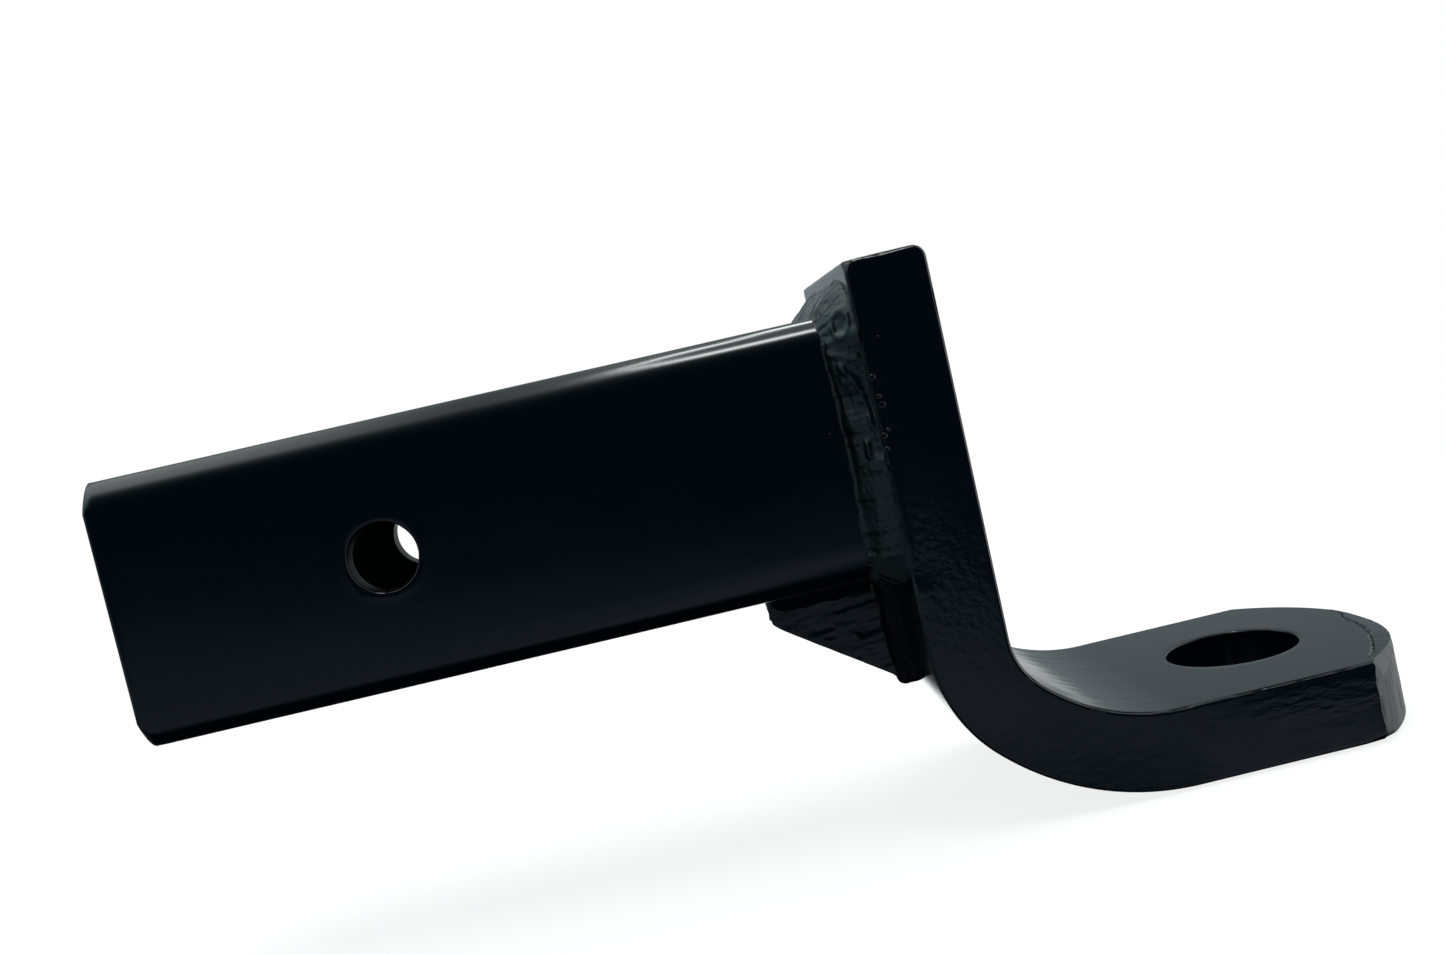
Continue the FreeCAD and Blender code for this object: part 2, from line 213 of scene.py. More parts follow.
bg_seen.inputs["Color"].default_value = (1.0, 1.0, 1.0, 1.0)
bg_seen.inputs["Strength"].default_value = 1.0
mix = t.new("ShaderNodeMixShader")
t.put(mix.inputs[0], t.new("ShaderNodeLightPath").outputs["Is Camera Ray"])
t.l.new(bg_light.outputs[0], mix.inputs[1])
t.l.new(bg_seen.outputs[0], mix.inputs[2])
t.l.new(mix.outputs[0], out.inputs["Surface"])

# a broad soft lamp for the shadow on the floor; the reflections come from the plan above
lamp_data = bpy.data.lights.new("soft_lamp", "AREA")
lamp_data.shape = "RECTANGLE"
lamp_data.size = 1.0
lamp_data.size_y = 0.8
lamp_data.energy = 8.0
lamp = bpy.data.objects.new("soft_lamp", lamp_data)
scene.collection.objects.link(lamp)
lamp.location = (0.08, 0.10, 1.0)
lamp.visible_glossy = False
lamp.visible_camera = False

# floor: just under the platform, seen by the camera only, and white far out so that no horizon shows
bm = bmesh.new()
bmesh.ops.create_circle(bm, cap_ends=True, segments=96, radius=6.0)
floor_mesh = bpy.data.meshes.new("floor")
bm.to_mesh(floor_mesh)
bm.free()
floor = bpy.data.objects.new("floor", floor_mesh)
scene.collection.objects.link(floor)
floor.location = (0.09, 0.0, -0.0953)
floor.visible_glossy = False
floor.visible_diffuse = False
floor.visible_shadow = False
fm = bpy.data.materials.new("floor_white")
fm.use_nodes = True
t = Tree(fm.node_tree)
t.n.clear()
out = t.new("ShaderNodeOutputMaterial")
pos = t.new("ShaderNodeNewGeometry")
radius = t.vmath("LENGTH", t.vmath("SUBTRACT", pos.outputs["Position"], (0.09, 0.0, -0.0953)))
fine = t.new("ShaderNodeTexNoise")
fine.inputs["Scale"].default_value = 60.0
t.put(fine.inputs["Vector"], pos.outputs["Position"])
dif = t.new("ShaderNodeBsdfDiffuse")
t.put(dif.inputs["Color"], t.mixc(fine.outputs[0], (0.16, 0.16, 0.16, 1), (0.18, 0.18, 0.18, 1)))
em = t.new("ShaderNodeEmission")
em.inputs["Color"].default_value = (1, 1, 1, 1)
em.inputs["Strength"].default_value = 0.84
add = t.new("ShaderNodeAddShader")
t.l.new(dif.outputs[0], add.inputs[0])
t.l.new(em.outputs[0], add.inputs[1])
far = t.new("ShaderNodeEmission")
far.inputs["Color"].default_value = (1, 1, 1, 1)
far.inputs["Strength"].default_value = 1.0
mixs = t.new("ShaderNodeMixShader")
t.put(mixs.inputs[0], t.step(radius, 0.25, 0.60))
t.l.new(add.outputs[0], mixs.inputs[1])
t.l.new(far.outputs[0], mixs.inputs[2])
# from below the floor is clear, so the underside can be looked at
clear = t.new("ShaderNodeBsdfTransparent")
mixb = t.new("ShaderNodeMixShader")
t.put(mixb.inputs[0], pos.outputs["Backfacing"])
t.l.new(mixs.outputs[0], mixb.inputs[1])
t.l.new(clear.outputs[0], mixb.inputs[2])
t.l.new(mixb.outputs[0], out.inputs["Surface"])
floor_mesh.materials.append(fm)

# ==============================================================================================================
# finish: black gloss coat
# ==============================================================================================================


def coat(name, base=(0.0003, 0.0011, 0.0019), rough=0.20, peel=0.010, peel_scale=650.0, drawn=False, specks=1.0, rough_var=0.05, gloss=0.5):
    """Black gloss coat over steel: a little orange peel, patchy gloss and dust nibs. drawn: the peel is drawn out
    lengthwise low down, where the bar lies level."""
    mat = bpy.data.materials.new(name)
    mat.use_nodes = True
    t = Tree(mat.node_tree)
    t.n.clear()
    out = t.new("ShaderNodeOutputMaterial")
    b = t.new("ShaderNodeBsdfPrincipled")
    t.l.new(b.outputs[0], out.inputs["Surface"])
    obj = t.new("ShaderNodeTexCoord").outputs["Object"]
    n1 = t.new("ShaderNodeTexNoise")
    n1.inputs["Scale"].default_value = peel_scale
    n1.inputs["Detail"].default_value = 2.0
    n1.inputs["Roughness"].default_value = 0.40
    t.put(n1.inputs["Vector"], obj)
    skin = n1.outputs[0]
    if drawn:
        n3 = t.new("ShaderNodeTexNoise")
        n3.inputs["Scale"].default_value = peel_scale
        n3.inputs["Detail"].default_value = 2.0
        n3.inputs["Roughness"].default_value = 0.40
        t.put(n3.inputs["Vector"], t.vmath("MULTIPLY", obj, (0.38, 1.0, 1.0)))
        sep = t.new("ShaderNodeSeparateXYZ")
        t.put(sep.inputs[0], obj)
        px, py, pz = sep.outputs
        flank = t.step(t.math("ABSOLUTE", py), 0.0385, 0.0395)
        skin = t.mixf(t.step(pz, -0.060, -0.076), skin, n3.outputs[0])
        # coarser beside the foot of the right seam and along the top of the level part, fine elsewhere
        near = t.vmath("DISTANCE", t.vmath("MULTIPLY", obj, (1.6, 0.0, 1.0)), (0.1984, 0.0, -0.034))
        coarse = t.math("MULTIPLY", t.step(near, 0.026, 0.008), 0.8)
        strip = t.math("MULTIPLY", t.step(px, 0.176, 0.196), t.math("MULTIPLY", t.step(pz, -0.0870, -0.0830), t.step(pz, -0.0765, -0.0790)))
        gain = t.math("MULTIPLY", flank, t.math("ADD", 0.22, t.math("MAXIMUM", coarse, strip)))
        skin = t.math("MULTIPLY", skin, t.math("ADD", 0.14, gain))
    n2 = t.new("ShaderNodeTexNoise")
    n2.inputs["Scale"].default_value = 38.0
    n2.inputs["Detail"].default_value = 4.0
    t.put(n2.inputs["Vector"], obj)
    vor = t.new("ShaderNodeTexVoronoi")
    vor.inputs["Scale"].default_value = 130.0
    t.put(vor.inputs["Vector"], obj)
    sc = t.new("ShaderNodeSeparateColor")
    t.put(sc.inputs[0], vor.outputs["Color"])
    keep = t.step(sc.outputs[0], 0.955, 0.965)
    nib = t.math("MULTIPLY", t.step(vor.outputs["Distance"], 0.055, 0.02), keep)
    nib = t.math("MULTIPLY", nib, specks)
    t.put(b.inputs["Base Color"], t.mixc(nib, t.mixc(n2.outputs[0], (*[c * 0.8 for c in base], 1), (*[c * 1.25 for c in base], 1)), (0.05, 0.055, 0.06, 1)))
    t.put(b.inputs["Roughness"], t.step(n2.outputs[0], 0.3, 0.7, rough - rough_var / 2, rough + rough_var / 2))
    b.inputs["IOR"].default_value = 1.5
    b.inputs["Specular IOR Level"].default_value = gloss
    bump = t.new("ShaderNodeBump")
    bump.inputs["Strength"].default_value = 1.0
    bump.inputs["Distance"].default_value = 0.001
    height = t.math("ADD", t.math("MULTIPLY", skin, peel), t.math("MULTIPLY", nib, 0.03))
    t.put(bump.inputs["Height"], height)
    t.put(b.inputs["Normal"], bump.outputs[0])
    return mat


coat_tube = coat("coat_tube", rough=0.125, rough_var=0.02, peel=0.006, peel_scale=420.0)
# rougher coat, with lower gloss as painted shade, for inside the tube and the pin hole
coat_bore_painted_shade = coat("coat_bore_painted_shade", rough=0.42, rough_var=0.08, peel=0.03, peel_scale=420.0, gloss=0.22)
coat_bar = coat("coat_bar", rough=0.14, rough_var=0.03, peel=0.060, peel_scale=640.0, drawn=True)
coat_plate = coat("coat_plate", rough=0.20, peel=0.03, peel_scale=380.0)
coat_weld = coat("coat_weld", rough=0.17, peel=0.03, peel_scale=500.0)
# a duller, less reflective copy of the weld coat: painted shade on the gusset-to-bar beads under the shank
coat_weld_painted_shade = coat("coat_weld_painted_shade", rough=0.24, peel=0.03, peel_scale=500.0, gloss=0.12)

# ==============================================================================================================
# mesh helpers: all shapes below are worked out in millimetres, in the part's frame
# ==============================================================================================================
MM = 0.001


def lattice(i, j, k, seed):
    n = (i * 374761393 + j * 668265263 + k * 1440662683 + seed * 1274126177) & 0xFFFFFFFF
    n = ((n ^ (n >> 13)) * 1103515245) & 0xFFFFFFFF
    n = ((n ^ (n >> 15)) * 1597334677) & 0xFFFFFFFF
    n = n ^ (n >> 16)
    return n.astype(float) / 0xFFFFFFFF * 2.0 - 1.0


def noise(p, cell, seed=0):
    """Smooth value noise from -1 to 1 at the points p; cell is the size of one lump, one number or three."""
    q = np.asarray(p, float) / np.asarray(cell, float)
    i = np.floor(q).astype(np.int64)
    f = q - i
    f = f * f * f * (f * (f * 6 - 15) + 10)
    total = 0.0
    for a in (0, 1):
        for b in (0, 1):
            for c in (0, 1):
                w = (f[..., 0] if a else 1 - f[..., 0]) * (f[..., 1] if b else 1 - f[..., 1]) * (f[..., 2] if c else 1 - f[..., 2])
                total = total + w * lattice(i[..., 0] + a, i[..., 1] + b, i[..., 2] + c, seed)
    return total


def fbm(p, cell, seed=0, octaves=3, gain=0.5):
    total, amp, cell = 0.0, 1.0, np.asarray(cell, float)
    for k in range(octaves):
        total = total + amp * noise(p, cell / (2.0 ** k), seed + 17 * k)
        amp *= gain
    return total


def ss(x, lo, hi):
    """Smooth step from 0 at lo to 1 at hi; hi may be below lo."""
    v = np.clip((np.asarray(x, float) - lo) / (hi - lo), 0.0, 1.0)
    return v * v * (3.0 - 2.0 * v)


class Soup:
    """Collects quads and polygons, then welds them into one closed mesh."""

    def __init__(self):
        self.v, self.f, self.n = [], [], 0

    def grid(self, pts, wrap_u=False, wrap_v=False, skip=None):
        pts = np.asarray(pts, float)
        nu, nv = pts.shape[:2]
        flat = pts.reshape(-1, 3)
        self.v.append(flat)
        iu = np.arange(nu if wrap_u else nu - 1)
        iv = np.arange(nv if wrap_v else nv - 1)
        U, V = np.meshgrid(iu, iv, indexing="ij")
        U2, V2 = (U + 1) % nu, (V + 1) % nv
        q = np.stack([U * nv + V, U2 * nv + V, U2 * nv + V2, U * nv + V2], -1).reshape(-1, 4)
        if skip is not None:
            q = q[~skip(flat[q].mean(1))]
        self.f.extend((q + self.n).tolist())
        self.n += nu * nv

    def fan(self, ring):
        ring = np.asarray(ring, float)
        self.v.append(np.vstack([ring, ring.mean(0)[None]]))
        k = len(ring)
        self.f.extend([[self.n + i, self.n + (i + 1) % k, self.n + k] for i in range(k)])
        self.n += k + 1

    def add(self, verts, faces):
        self.v.append(np.asarray(verts, float))
        self.f.extend([[self.n + i for i in f] for f in faces])
        self.n += len(verts)

    def mesh(self, name, merge=0.004):
        me = bpy.data.meshes.new(name)
        co = np.vstack(self.v) * MM
        me.from_pydata(co.tolist(), [], self.f)
        bm = bmesh.new()
        bm.from_mesh(me)
        bmesh.ops.remove_doubles(bm, verts=bm.verts, dist=merge * MM)
        bmesh.ops.dissolve_degenerate(bm, dist=1e-7, edges=bm.edges)
        bmesh.ops.recalc_face_normals(bm, faces=bm.faces)
        bm.to_mesh(me)
        bm.free()
        return me


def coords(me):
    co = np.zeros(len(me.vertices) * 3)
    me.vertices.foreach_get("co", co)
    no = np.zeros(len(me.vertices) * 3, np.float32)
    me.vertices.foreach_get("normal", no)
    return co.reshape(-1, 3) / MM, no.reshape(-1, 3).astype(float)


def move(me, new):
    me.vertices.foreach_set("co", (new * MM).ravel())
    me.update()


def mark_edges(me, degrees, soft=None):
    """Smooth shading with hard edges over the angle, none where soft(middle of the edge in mm) says so."""
    bm = bmesh.new()
    bm.from_mesh(me)
    lim = math.radians(degrees)
    for f in bm.faces:
        f.smooth = True
    for e in bm.edges:
        hard = len(e.link_faces) == 2 and e.calc_face_angle(0.0) > lim
        if hard and soft is not None:
            hard = not soft((e.verts[0].co + e.verts[1].co) * 0.5 / MM)
        e.smooth = not hard
    bm.to_mesh(me)
    bm.free()


def piece(name, me, material, slot, *nodes):
    o = bpy.data.objects.new(name, me)
    scene.collection.objects.link(o)
    me.materials.clear()
    me.materials.append(material)
    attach(o, "root")
    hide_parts(*nodes)
    return o


# ==============================================================================================================
# shank tube: rounded square section, softened ends, pin hole through both sides
# ==============================================================================================================
H, TR, WALL, TRI = 31.75, 7.0, 6.35, 2.0
X0, XB = -63.5, 117.0


PATCH, PN = 13.0, 24                          # square round the pin hole, and its divisions a side


def square_ring(half, r, inset_=0.0, seg=16):
    """Rounded square section; the two sides have level lines that meet the square round the pin hole."""
    c, rr = half - r, max(r - inset_, 0.02)
    side_z = np.concatenate([np.linspace(c, PATCH, 5)[:-1], np.linspace(PATCH, -PATCH, PN + 1), np.linspace(-PATCH, -c, 5)[1:]])
    face = np.linspace(c, -c, 17)
    pts = []
    for k, (sy, sz) in enumerate(((1, 1), (-1, 1), (-1, -1), (1, -1))):
        for i in range(seg + 1):
            a = math.radians(90.0 * k + 90.0 * i / seg)
            pts.append((sy * c + rr * math.cos(a), sz * c + rr * math.sin(a)))
        e = half - inset_
        run = {0: [(v, e) for v in face[1:-1]], 1: [(-e, v) for v in side_z[1:-1]],
               2: [(v, -e) for v in face[::-1][1:-1]], 3: [(e, v) for v in side_z[::-1][1:-1]]}[k]
        pts += run
    return np.array(pts)


EO, EI = 0.8, 0.5                             # softened edges of the open end
in_x = np.linspace(-PATCH, PATCH, PN + 1)
body_x = np.concatenate([X0 + np.array([EO, 1.1, 1.5, 2.0, 2.6, 3.4]), np.linspace(X0 + 4.4, -PATCH, 22)[:-1], in_x, np.linspace(PATCH, XB, 48)[1:]])
end_a = np.radians(np.linspace(0, 90, 5))
outer_rows = [(X0 + EO - EO * math.sin(a), EO - EO * math.cos(a)) for a in end_a[::-1][:-1]] + [(x, 0.0) for x in body_x]
inner_rows = [(X0 + EI - EI * math.sin(a), -(EI - EI * math.cos(a))) for a in end_a[::-1][:-1]] + [(X0 + EO, 0.0)] + [(x, 0.0) for x in body_x[1:]]


def around_pin(c):
    return (np.abs(c[:, 0]) < PATCH) & (np.abs(c[:, 2]) < PATCH) & (np.abs(c[:, 1]) > H - WALL - 0.6)


s = Soup()
og = np.array([[(x, y, z) for (y, z) in square_ring(H, TR, i_)] for x, i_ in outer_rows])
ig = np.array([[(x, y, z) for (y, z) in square_ring(H - WALL, TRI, i_)] for x, i_ in inner_rows])
s.grid(og, wrap_v=True, skip=around_pin)
s.grid(ig, wrap_v=True, skip=around_pin)
for a_, b_ in ((og[0], ig[0]), (og[-1], ig[-1])):
    s.grid(np.stack([a_ + (b_ - a_) * k / 3 for k in range(4)], 1), wrap_u=True)
PR, PC, PC2 = 8.15, 0.5, 0.3
rim = np.array([(-PATCH + 2 * PATCH * i / PN, -PATCH) for i in range(PN)] + [(PATCH, -PATCH + 2 * PATCH * i / PN) for i in range(PN)]
               + [(PATCH - 2 * PATCH * i / PN, PATCH) for i in range(PN)] + [(-PATCH, PATCH - 2 * PATCH * i / PN) for i in range(PN)])
turn = np.radians(-135.0 + 90.0 * np.arange(4 * PN) / PN)
circ = np.stack([np.cos(turn), np.sin(turn)], -1)
for sgn in (-1, 1):
    cols = []
    for f_ in np.linspace(0, 1, 7)[:-1]:
        p_ = rim * (1 - f_) + circ * (PR + PC) * f_
        cols.append((p_, H))
    for a in np.radians(np.linspace(0, 90, 6)):
        cols.append((circ * (PR + PC - PC * math.sin(a)), H - PC + PC * math.cos(a)))
    for yy in np.linspace(H - PC, H - WALL + PC2, 8)[1:]:
        cols.append((circ * PR, yy))
    for a in np.radians(np.linspace(0, 90, 4))[1:]:
        cols.append((circ * (PR + PC2 - PC2 * math.cos(a)), H - WALL + PC2 - PC2 * math.sin(a)))
    for f_ in np.linspace(1, 0, 6)[1:]:
        p_ = rim * (1 - f_) + circ * (PR + PC2) * f_
        cols.append((p_, H - WALL))
    s.grid(np.stack([np.stack([p_[:, 0], np.full(len(p_), sgn * yy), p_[:, 1]], -1) for p_, yy in cols], 1), wrap_u=True)
tube_me = s.mesh("shank_tube_finished")
P, N = coords(tube_me)
x, y, z = P.T
out_m = ss(np.maximum(np.abs(y), np.abs(z)), H - 1.2, H - 0.2)
away = ss(np.hypot(x, z), PR + 0.6, PR + 3.0) * ss(x, X0 + 0.4, X0 + 2.0)
new = P - N * (out_m * away * (0.05 + 0.045 * fbm(P, (46.0, 26.0, 26.0), 11, 2)))[:, None]
# the pin hole was cut before coating: its edge is a little uneven
hole_m = np.exp(-((np.hypot(x, z) - PR - 0.15) / 0.35) ** 2) * (np.abs(y) > H - 0.8)
new[:, 0] += hole_m * 0.05 * noise(P, 2.4, 12)
new[:, 2] += hole_m * 0.05 * noise(P, 2.2, 13)
new[:, 0] = np.maximum(new[:, 0], X0)
# the four corners of the open end are rounded off more than its straight edges
cy, cz = np.abs(y) - (H - TR), np.abs(z) - (H - TR)
cr_ = np.hypot(cy, cz)
corner = (cy > 0) & (cz > 0) & (cr_ > TR - 1.4)
weight = np.where(corner, 2.0 * cy * cz / np.maximum(cr_ ** 2, 1e-6), 0.0)
RE = 3.4
depth_ = np.clip(RE - (x - X0), 0.0, RE)
pull = weight * (RE - np.sqrt(np.maximum(RE ** 2 - depth_ ** 2, 0.0))) * 0.62 * ss(cr_, TR - 1.4, TR - 0.7)
new[:, 1] -= np.sign(y) * pull * cy / np.maximum(cr_, 1e-6)
new[:, 2] -= np.sign(z) * pull * cz / np.maximum(cr_, 1e-6)
move(tube_me, new)
mark_edges(tube_me, 40)
tube = piece("shank_tube_finished", tube_me, coat_tube, "coated_tube", "shank_tube")
# inside the tube and the pin hole the coat is rougher and made less reflective: painted shade in these hollows
tube_me.materials.append(coat_bore_painted_shade)
for f in tube_me.polygons:
    c = f.center / MM
    qy, qz = abs(c.y) - (H - TR), abs(c.z) - (H - TR)
    depth_in = TR - math.hypot(max(qy, 0.0), max(qz, 0.0)) - min(max(qy, qz), 0.0)
    if depth_in > 0.62 and c.x > X0 + 0.6:
        f.material_index = 1

# ==============================================================================================================
# tongue bar: a swept flat bar, joined to a platform that is laid out round the ball hole
# ==============================================================================================================
T, W2, ER = 19.05, 40.0, 0.7
TOP, PZ = 42.5, -75.5
BZ = PZ - T
Q = math.sqrt(0.5)
C2 = (XB + 36.0 + 28.0 * Q, BZ + 64.0)
C1 = (XB + 36.0, C2[1] - 28.0 * Q)
RF, RB, RS = 3.2, 0.9, 0.8                    # rounding of the sheared top end: front, back, sides
ARC, NF, NW = 6, 78, 30
depth_rows = np.concatenate([np.linspace(ER, 7.0, 15), np.linspace(7.0, T - ER, NW - 13)[1:]])   # below the top face
y_flat = np.linspace(-W2 + ER, W2 - ER, NF + 1)
arc_a = np.radians(np.linspace(0, 90, ARC + 1))


def bar_ring():
    """(y, depth below the inner face) round the bar, starting at the inner face's right edge."""
    pts = [(y, 0.0) for y in y_flat]
    pts += [(W2 - ER + ER * math.sin(a), ER - ER * math.cos(a)) for a in arc_a[1:]]
    pts += [(W2, q) for q in depth_rows[1:]]
    pts += [(W2 - ER + ER * math.cos(a), T - ER + ER * math.sin(a)) for a in arc_a[1:]]
    pts += [(y, T) for y in y_flat[::-1][1:]]
    pts += [(-W2 + ER - ER * math.sin(a), T - ER + ER * math.cos(a)) for a in arc_a[1:]]
    pts += [(-W2, q) for q in depth_rows[::-1][1:]]
    pts += [(-W2 + ER - ER * math.cos(a), ER - ER * math.sin(a)) for a in arc_a[1:-1]]
    return np.array(pts)


RING = bar_ring()
st = []                                         # stations: inner point (x, z), outer point (x, z), depth below the top end
tops = np.array([0.0, 0.08, 0.25, 0.5, 0.85, 1.3, 1.9, 2.5, 3.2])
zs = np.concatenate([TOP - tops, np.linspace(TOP - 3.2, C1[1], 78)[1:]])
for z in zs:
    st.append(((XB + T, z), (XB, z), TOP - z))
for a in np.radians(np.linspace(0, 45, 25)[1:]):
    st.append(((C1[0] - (36 - T) * math.cos(a), C1[1] - (36 - T) * math.sin(a)), (C1[0] - 36 * math.cos(a), C1[1] - 36 * math.sin(a)), 99.0))
for a in np.radians(np.linspace(45, 90, 43)[1:]):
    st.append(((C2[0] - (64 - T) * math.cos(a), C2[1] - (64 - T) * math.sin(a)), (C2[0] - 64 * math.cos(a), C2[1] - 64 * math.sin(a)), 99.0))


def inset(t, r):
    return 0.0 if t >= r else r - math.sqrt(max(r * r - (r - t) ** 2, 0.0))


rings = []
for pin_, pout, t_ in st:
    f_in, b_in, s_in = inset(t_, RF), inset(t_, RB), inset(t_, RS)
    y = RING[:, 0] * (W2 - s_in) / W2
    q = f_in + RING[:, 1] * (T - f_in - b_in) / T
    k = q / T
    rings.append(np.stack([pin_[0] + (pout[0] - pin_[0]) * k, y, pin_[1] + (pout[1] - pin_[1]) * k], -1))
rings = np.array(rings)
s = Soup()
s.grid(rings, wrap_v=True)


def cap(ring):
    """Fills the sheared end with a grid that keeps to the ring's own points."""
    n = len(ring)
    h = ARC // 2
    i0 = (-h) % n                              # middle of the arc before the inner face
    a = NF + 2 * h
    b = NW + 2 * h
    idx = (i0 + np.arange(n)) % n
    r_ = ring[idx]
    south, east = r_[:a + 1], r_[a:a + b + 1]
    north = r_[a + b:2 * a + b + 1][::-1]
    west = np.vstack([r_[2 * a + b:], r_[:1]])[::-1]
    U = np.linspace(0, 1, a + 1)[:, None, None]
    V = np.linspace(0, 1, b + 1)[None, :, None]
    return ((1 - V) * south[:, None] + V * north[:, None] + (1 - U) * west[None] + U * east[None]
            - ((1 - U) * (1 - V) * south[0] + U * (1 - V) * south[-1] + (1 - U) * V * north[0] + U * V * north[-1]))


s.grid(cap(rings[0]))

# platform
HX, HR, HC = 201.5, 16.6, 0.5
KX, NX = 218.5, 238.0
NR = ((NX - KX) ** 2 + W2 ** 2) / (2 * (NX - KX))
NC = NX - NR
kink = math.asin(W2 / NR)
side_x = np.concatenate([np.linspace(C2[0], KX - 4.0, 46), np.linspace(KX - 4.0, KX, 12)[1:]])
nose_a = np.linspace(-kink, kink, 289)
rays = [(x, -W2, 0.0, -1.0, -1) for x in side_x[:-1]]
for a in nose_a:
    nx, ny = math.cos(a), math.sin(a)
    if a in (nose_a[0], nose_a[-1]):
        nx, ny = nx * 0.5, (ny + math.copysign(1.0, ny)) * 0.5
        l_ = math.hypot(nx, ny)
        nx, ny = nx / l_, ny / l_
    rays.append((NC + NR * math.cos(a), NR * math.sin(a), nx, ny, 0))
rays += [(x, W2, 0.0, 1.0, 1) for x in side_x[::-1][1:]]
rays = np.array(rays)
ry = rays[:, 1]
on_nose = rays[:, 4] == 0
arc_s = NR * np.arctan2(ry, rays[:, 0] - NC)    # length along the nose from its foremost point
seedv = np.stack([arc_s, np.zeros(len(rays)), np.zeros(len(rays))], -1)
# ground bevel on the nose's upper edge: widest right of the middle, with a ragged inner edge
start_in = ss(ry, -39.95, -36.8)              # the bevel and the facet both begin at nothing at the kink
bev_w = np.where(on_nose, 4.3 * ss(ry, 15.5, -2.0) * (1.0 - 0.72 * ss(ry, -20.0, -39.5)) * start_in, 0.0)
bev_w = np.where(bev_w > 0.05, bev_w + 0.16 * noise(seedv, 0.9, 3) * (bev_w > 0.4) + 0.10 * noise(seedv, 0.45, 4) * (bev_w > 0.4), 0.0)
bev_h = bev_w * 0.10
edge_r = np.where(on_nose, 0.45, ER - (ER - 0.45) * ss(rays[:, 0], KX - 5.0, KX))
# steep little facet left by the cut where it starts, at the right kink
fac = np.where(on_nose, ss(ry, -17.0, -38.0), 0.0) * (ry < 0) * start_in
fac_v, fac_g = 1.25 * fac, 4.6 * fac
low_r = np.where(on_nose, 0.7 + 1.3 * ss(np.abs(ry), 36.0, 40.0), ER + 1.0 * ss(rays[:, 0], KX - 6.0, KX))
wall = []
for q, (x, y, nx, ny, kind) in enumerate(rays):
    w, hgt, er, lr = bev_w[q], bev_h[q], edge_r[q], low_r[q]
    v0, g0 = fac_v[q], fac_g[q]
    prof = []
    if w > 0.05:
        # a ragged groove, the bevel facet, then a small edge break
        g_ = min(w / 2.2, 1.0)
        w0 = v0 + 0.12 + w
        prof += [(w0 + 0.75 * g_, 0.0), (w0 + 0.10 * g_, 0.62 * g_), (w0 - 0.50 * g_, 0.07 * g_),
                 (v0 + 0.12 + 0.5 * w * (1 - 0.2 * g_), 0.07 * g_ + 0.5 * hgt), (v0 + 0.12, 0.07 * g_ + hgt)]
        hgt += 0.07 * g_
        prof.append((v0 * 0.97 + 0.02, hgt + 0.15))
        prof.append((v0 * 0.9, hgt + 0.45))
    else:
        prof = [(v0 + er - er * math.sin(a), er - er * math.cos(a)) for a in arc_a]
    d0 = prof[-1][1]
    rows = d0 + (depth_rows - ER) * (T - lr - d0) / (T - 2 * ER)
    for dep in rows[1:]:
        ins = v0 * max(0.0, 1.0 - dep / g0) if g0 > 0.2 else 0.0
        prof.append((ins, dep))
    for a in arc_a[1:]:
        prof.append((lr - lr * math.cos(a), T - lr + lr * math.sin(a)))
    wall.append([(x - nx * i_, y - ny * i_, PZ - dep) for i_, dep in prof])
wall = np.array(wall)
s.grid(wall)
top_out, bot_out = wall[:, 0], wall[:, -1]
back_top = np.array([(C2[0], y, PZ) for y in y_flat[::-1][1:-1]])
back_bot = back_top - [0, 0, T]
top_out = np.vstack([top_out, back_top])
bot_out = np.vstack([bot_out, back_bot])


def spread(outline, z, first, dists):
    """Rows from the outline in to the hole's edge: some at fixed distances, the rest evenly."""
    v_ = outline[:, :2] - [HX, 0.0]
    u_ = v_ / np.linalg.norm(v_, axis=1)[:, None]
    rim = np.array([HX, 0.0]) + u_ * (HR + HC)
    gap = rim - outline[:, :2]
    length = np.linalg.norm(gap, axis=1)
    rows = [outline]
    for dist in dists:
        f_ = np.minimum(dist / length, 0.4)[:, None]
        p_ = np.c_[outline[:, :2] + gap * f_, np.full(len(outline), z)]
        rows.append(p_)
    start = rows[-1][:, :2]
    for k in range(1, first + 1):
        p_ = start + (rim - start) * (k / first)
        rows.append(np.c_[p_, np.full(len(outline), z)])
    return np.array(rows).transpose(1, 0, 2), u_


tg, u_top = spread(top_out, PZ, 12, (0.3, 0.6, 1.1))
s.grid(tg, wrap_u=True)
bg, u_bot = spread(bot_out, BZ, 10, (0.8,))
s.grid(bg, wrap_u=True)
hole = []
for ut, ub in zip(u_top, u_bot):
    col = []
    for a in np.radians(np.linspace(0, 90, 5)):
        col.append((HR + HC - HC * math.sin(a), HC - HC * math.cos(a)))
    for dep in np.linspace(HC, T - HC, 12)[1:]:
        col.append((HR, dep))
    for a in np.radians(np.linspace(0, 90, 5))[1:]:
        col.append((HR + HC - HC * math.cos(a), T - HC + HC * math.sin(a)))
    n_ = len(col)
    pts = []
    for k, (rad, dep) in enumerate(col):
        uu = ut + (ub - ut) * (k / (n_ - 1))
        uu = uu / np.linalg.norm(uu)
        pts.append((HX + uu[0] * rad, uu[1] * rad, PZ - dep))
    hole.append(pts)
s.grid(np.array(hole), wrap_u=True)
bar_me = s.mesh("tongue_bar_finished", merge=0.003)
P, N = coords(bar_me)
off = np.zeros(len(P))
x, y, z = P.T
ny = np.abs(N[:, 1])
nose_zone = ss(x, KX - 0.3, KX + 0.8)
# rolled sides: shallow waves, kept inside the bar's width
side_m = ss(np.abs(y), 39.0, 39.8) * (1 - nose_zone)
beside_weld = np.exp(-((x - 118.5) / 5.0) ** 2) * ss(np.abs(z), 36.0, 30.0)
off -= side_m * ((0.10 + 0.035 * fbm(P, 16.0, 21, 2)) * (1 - beside_weld) + 0.28 * beside_weld)
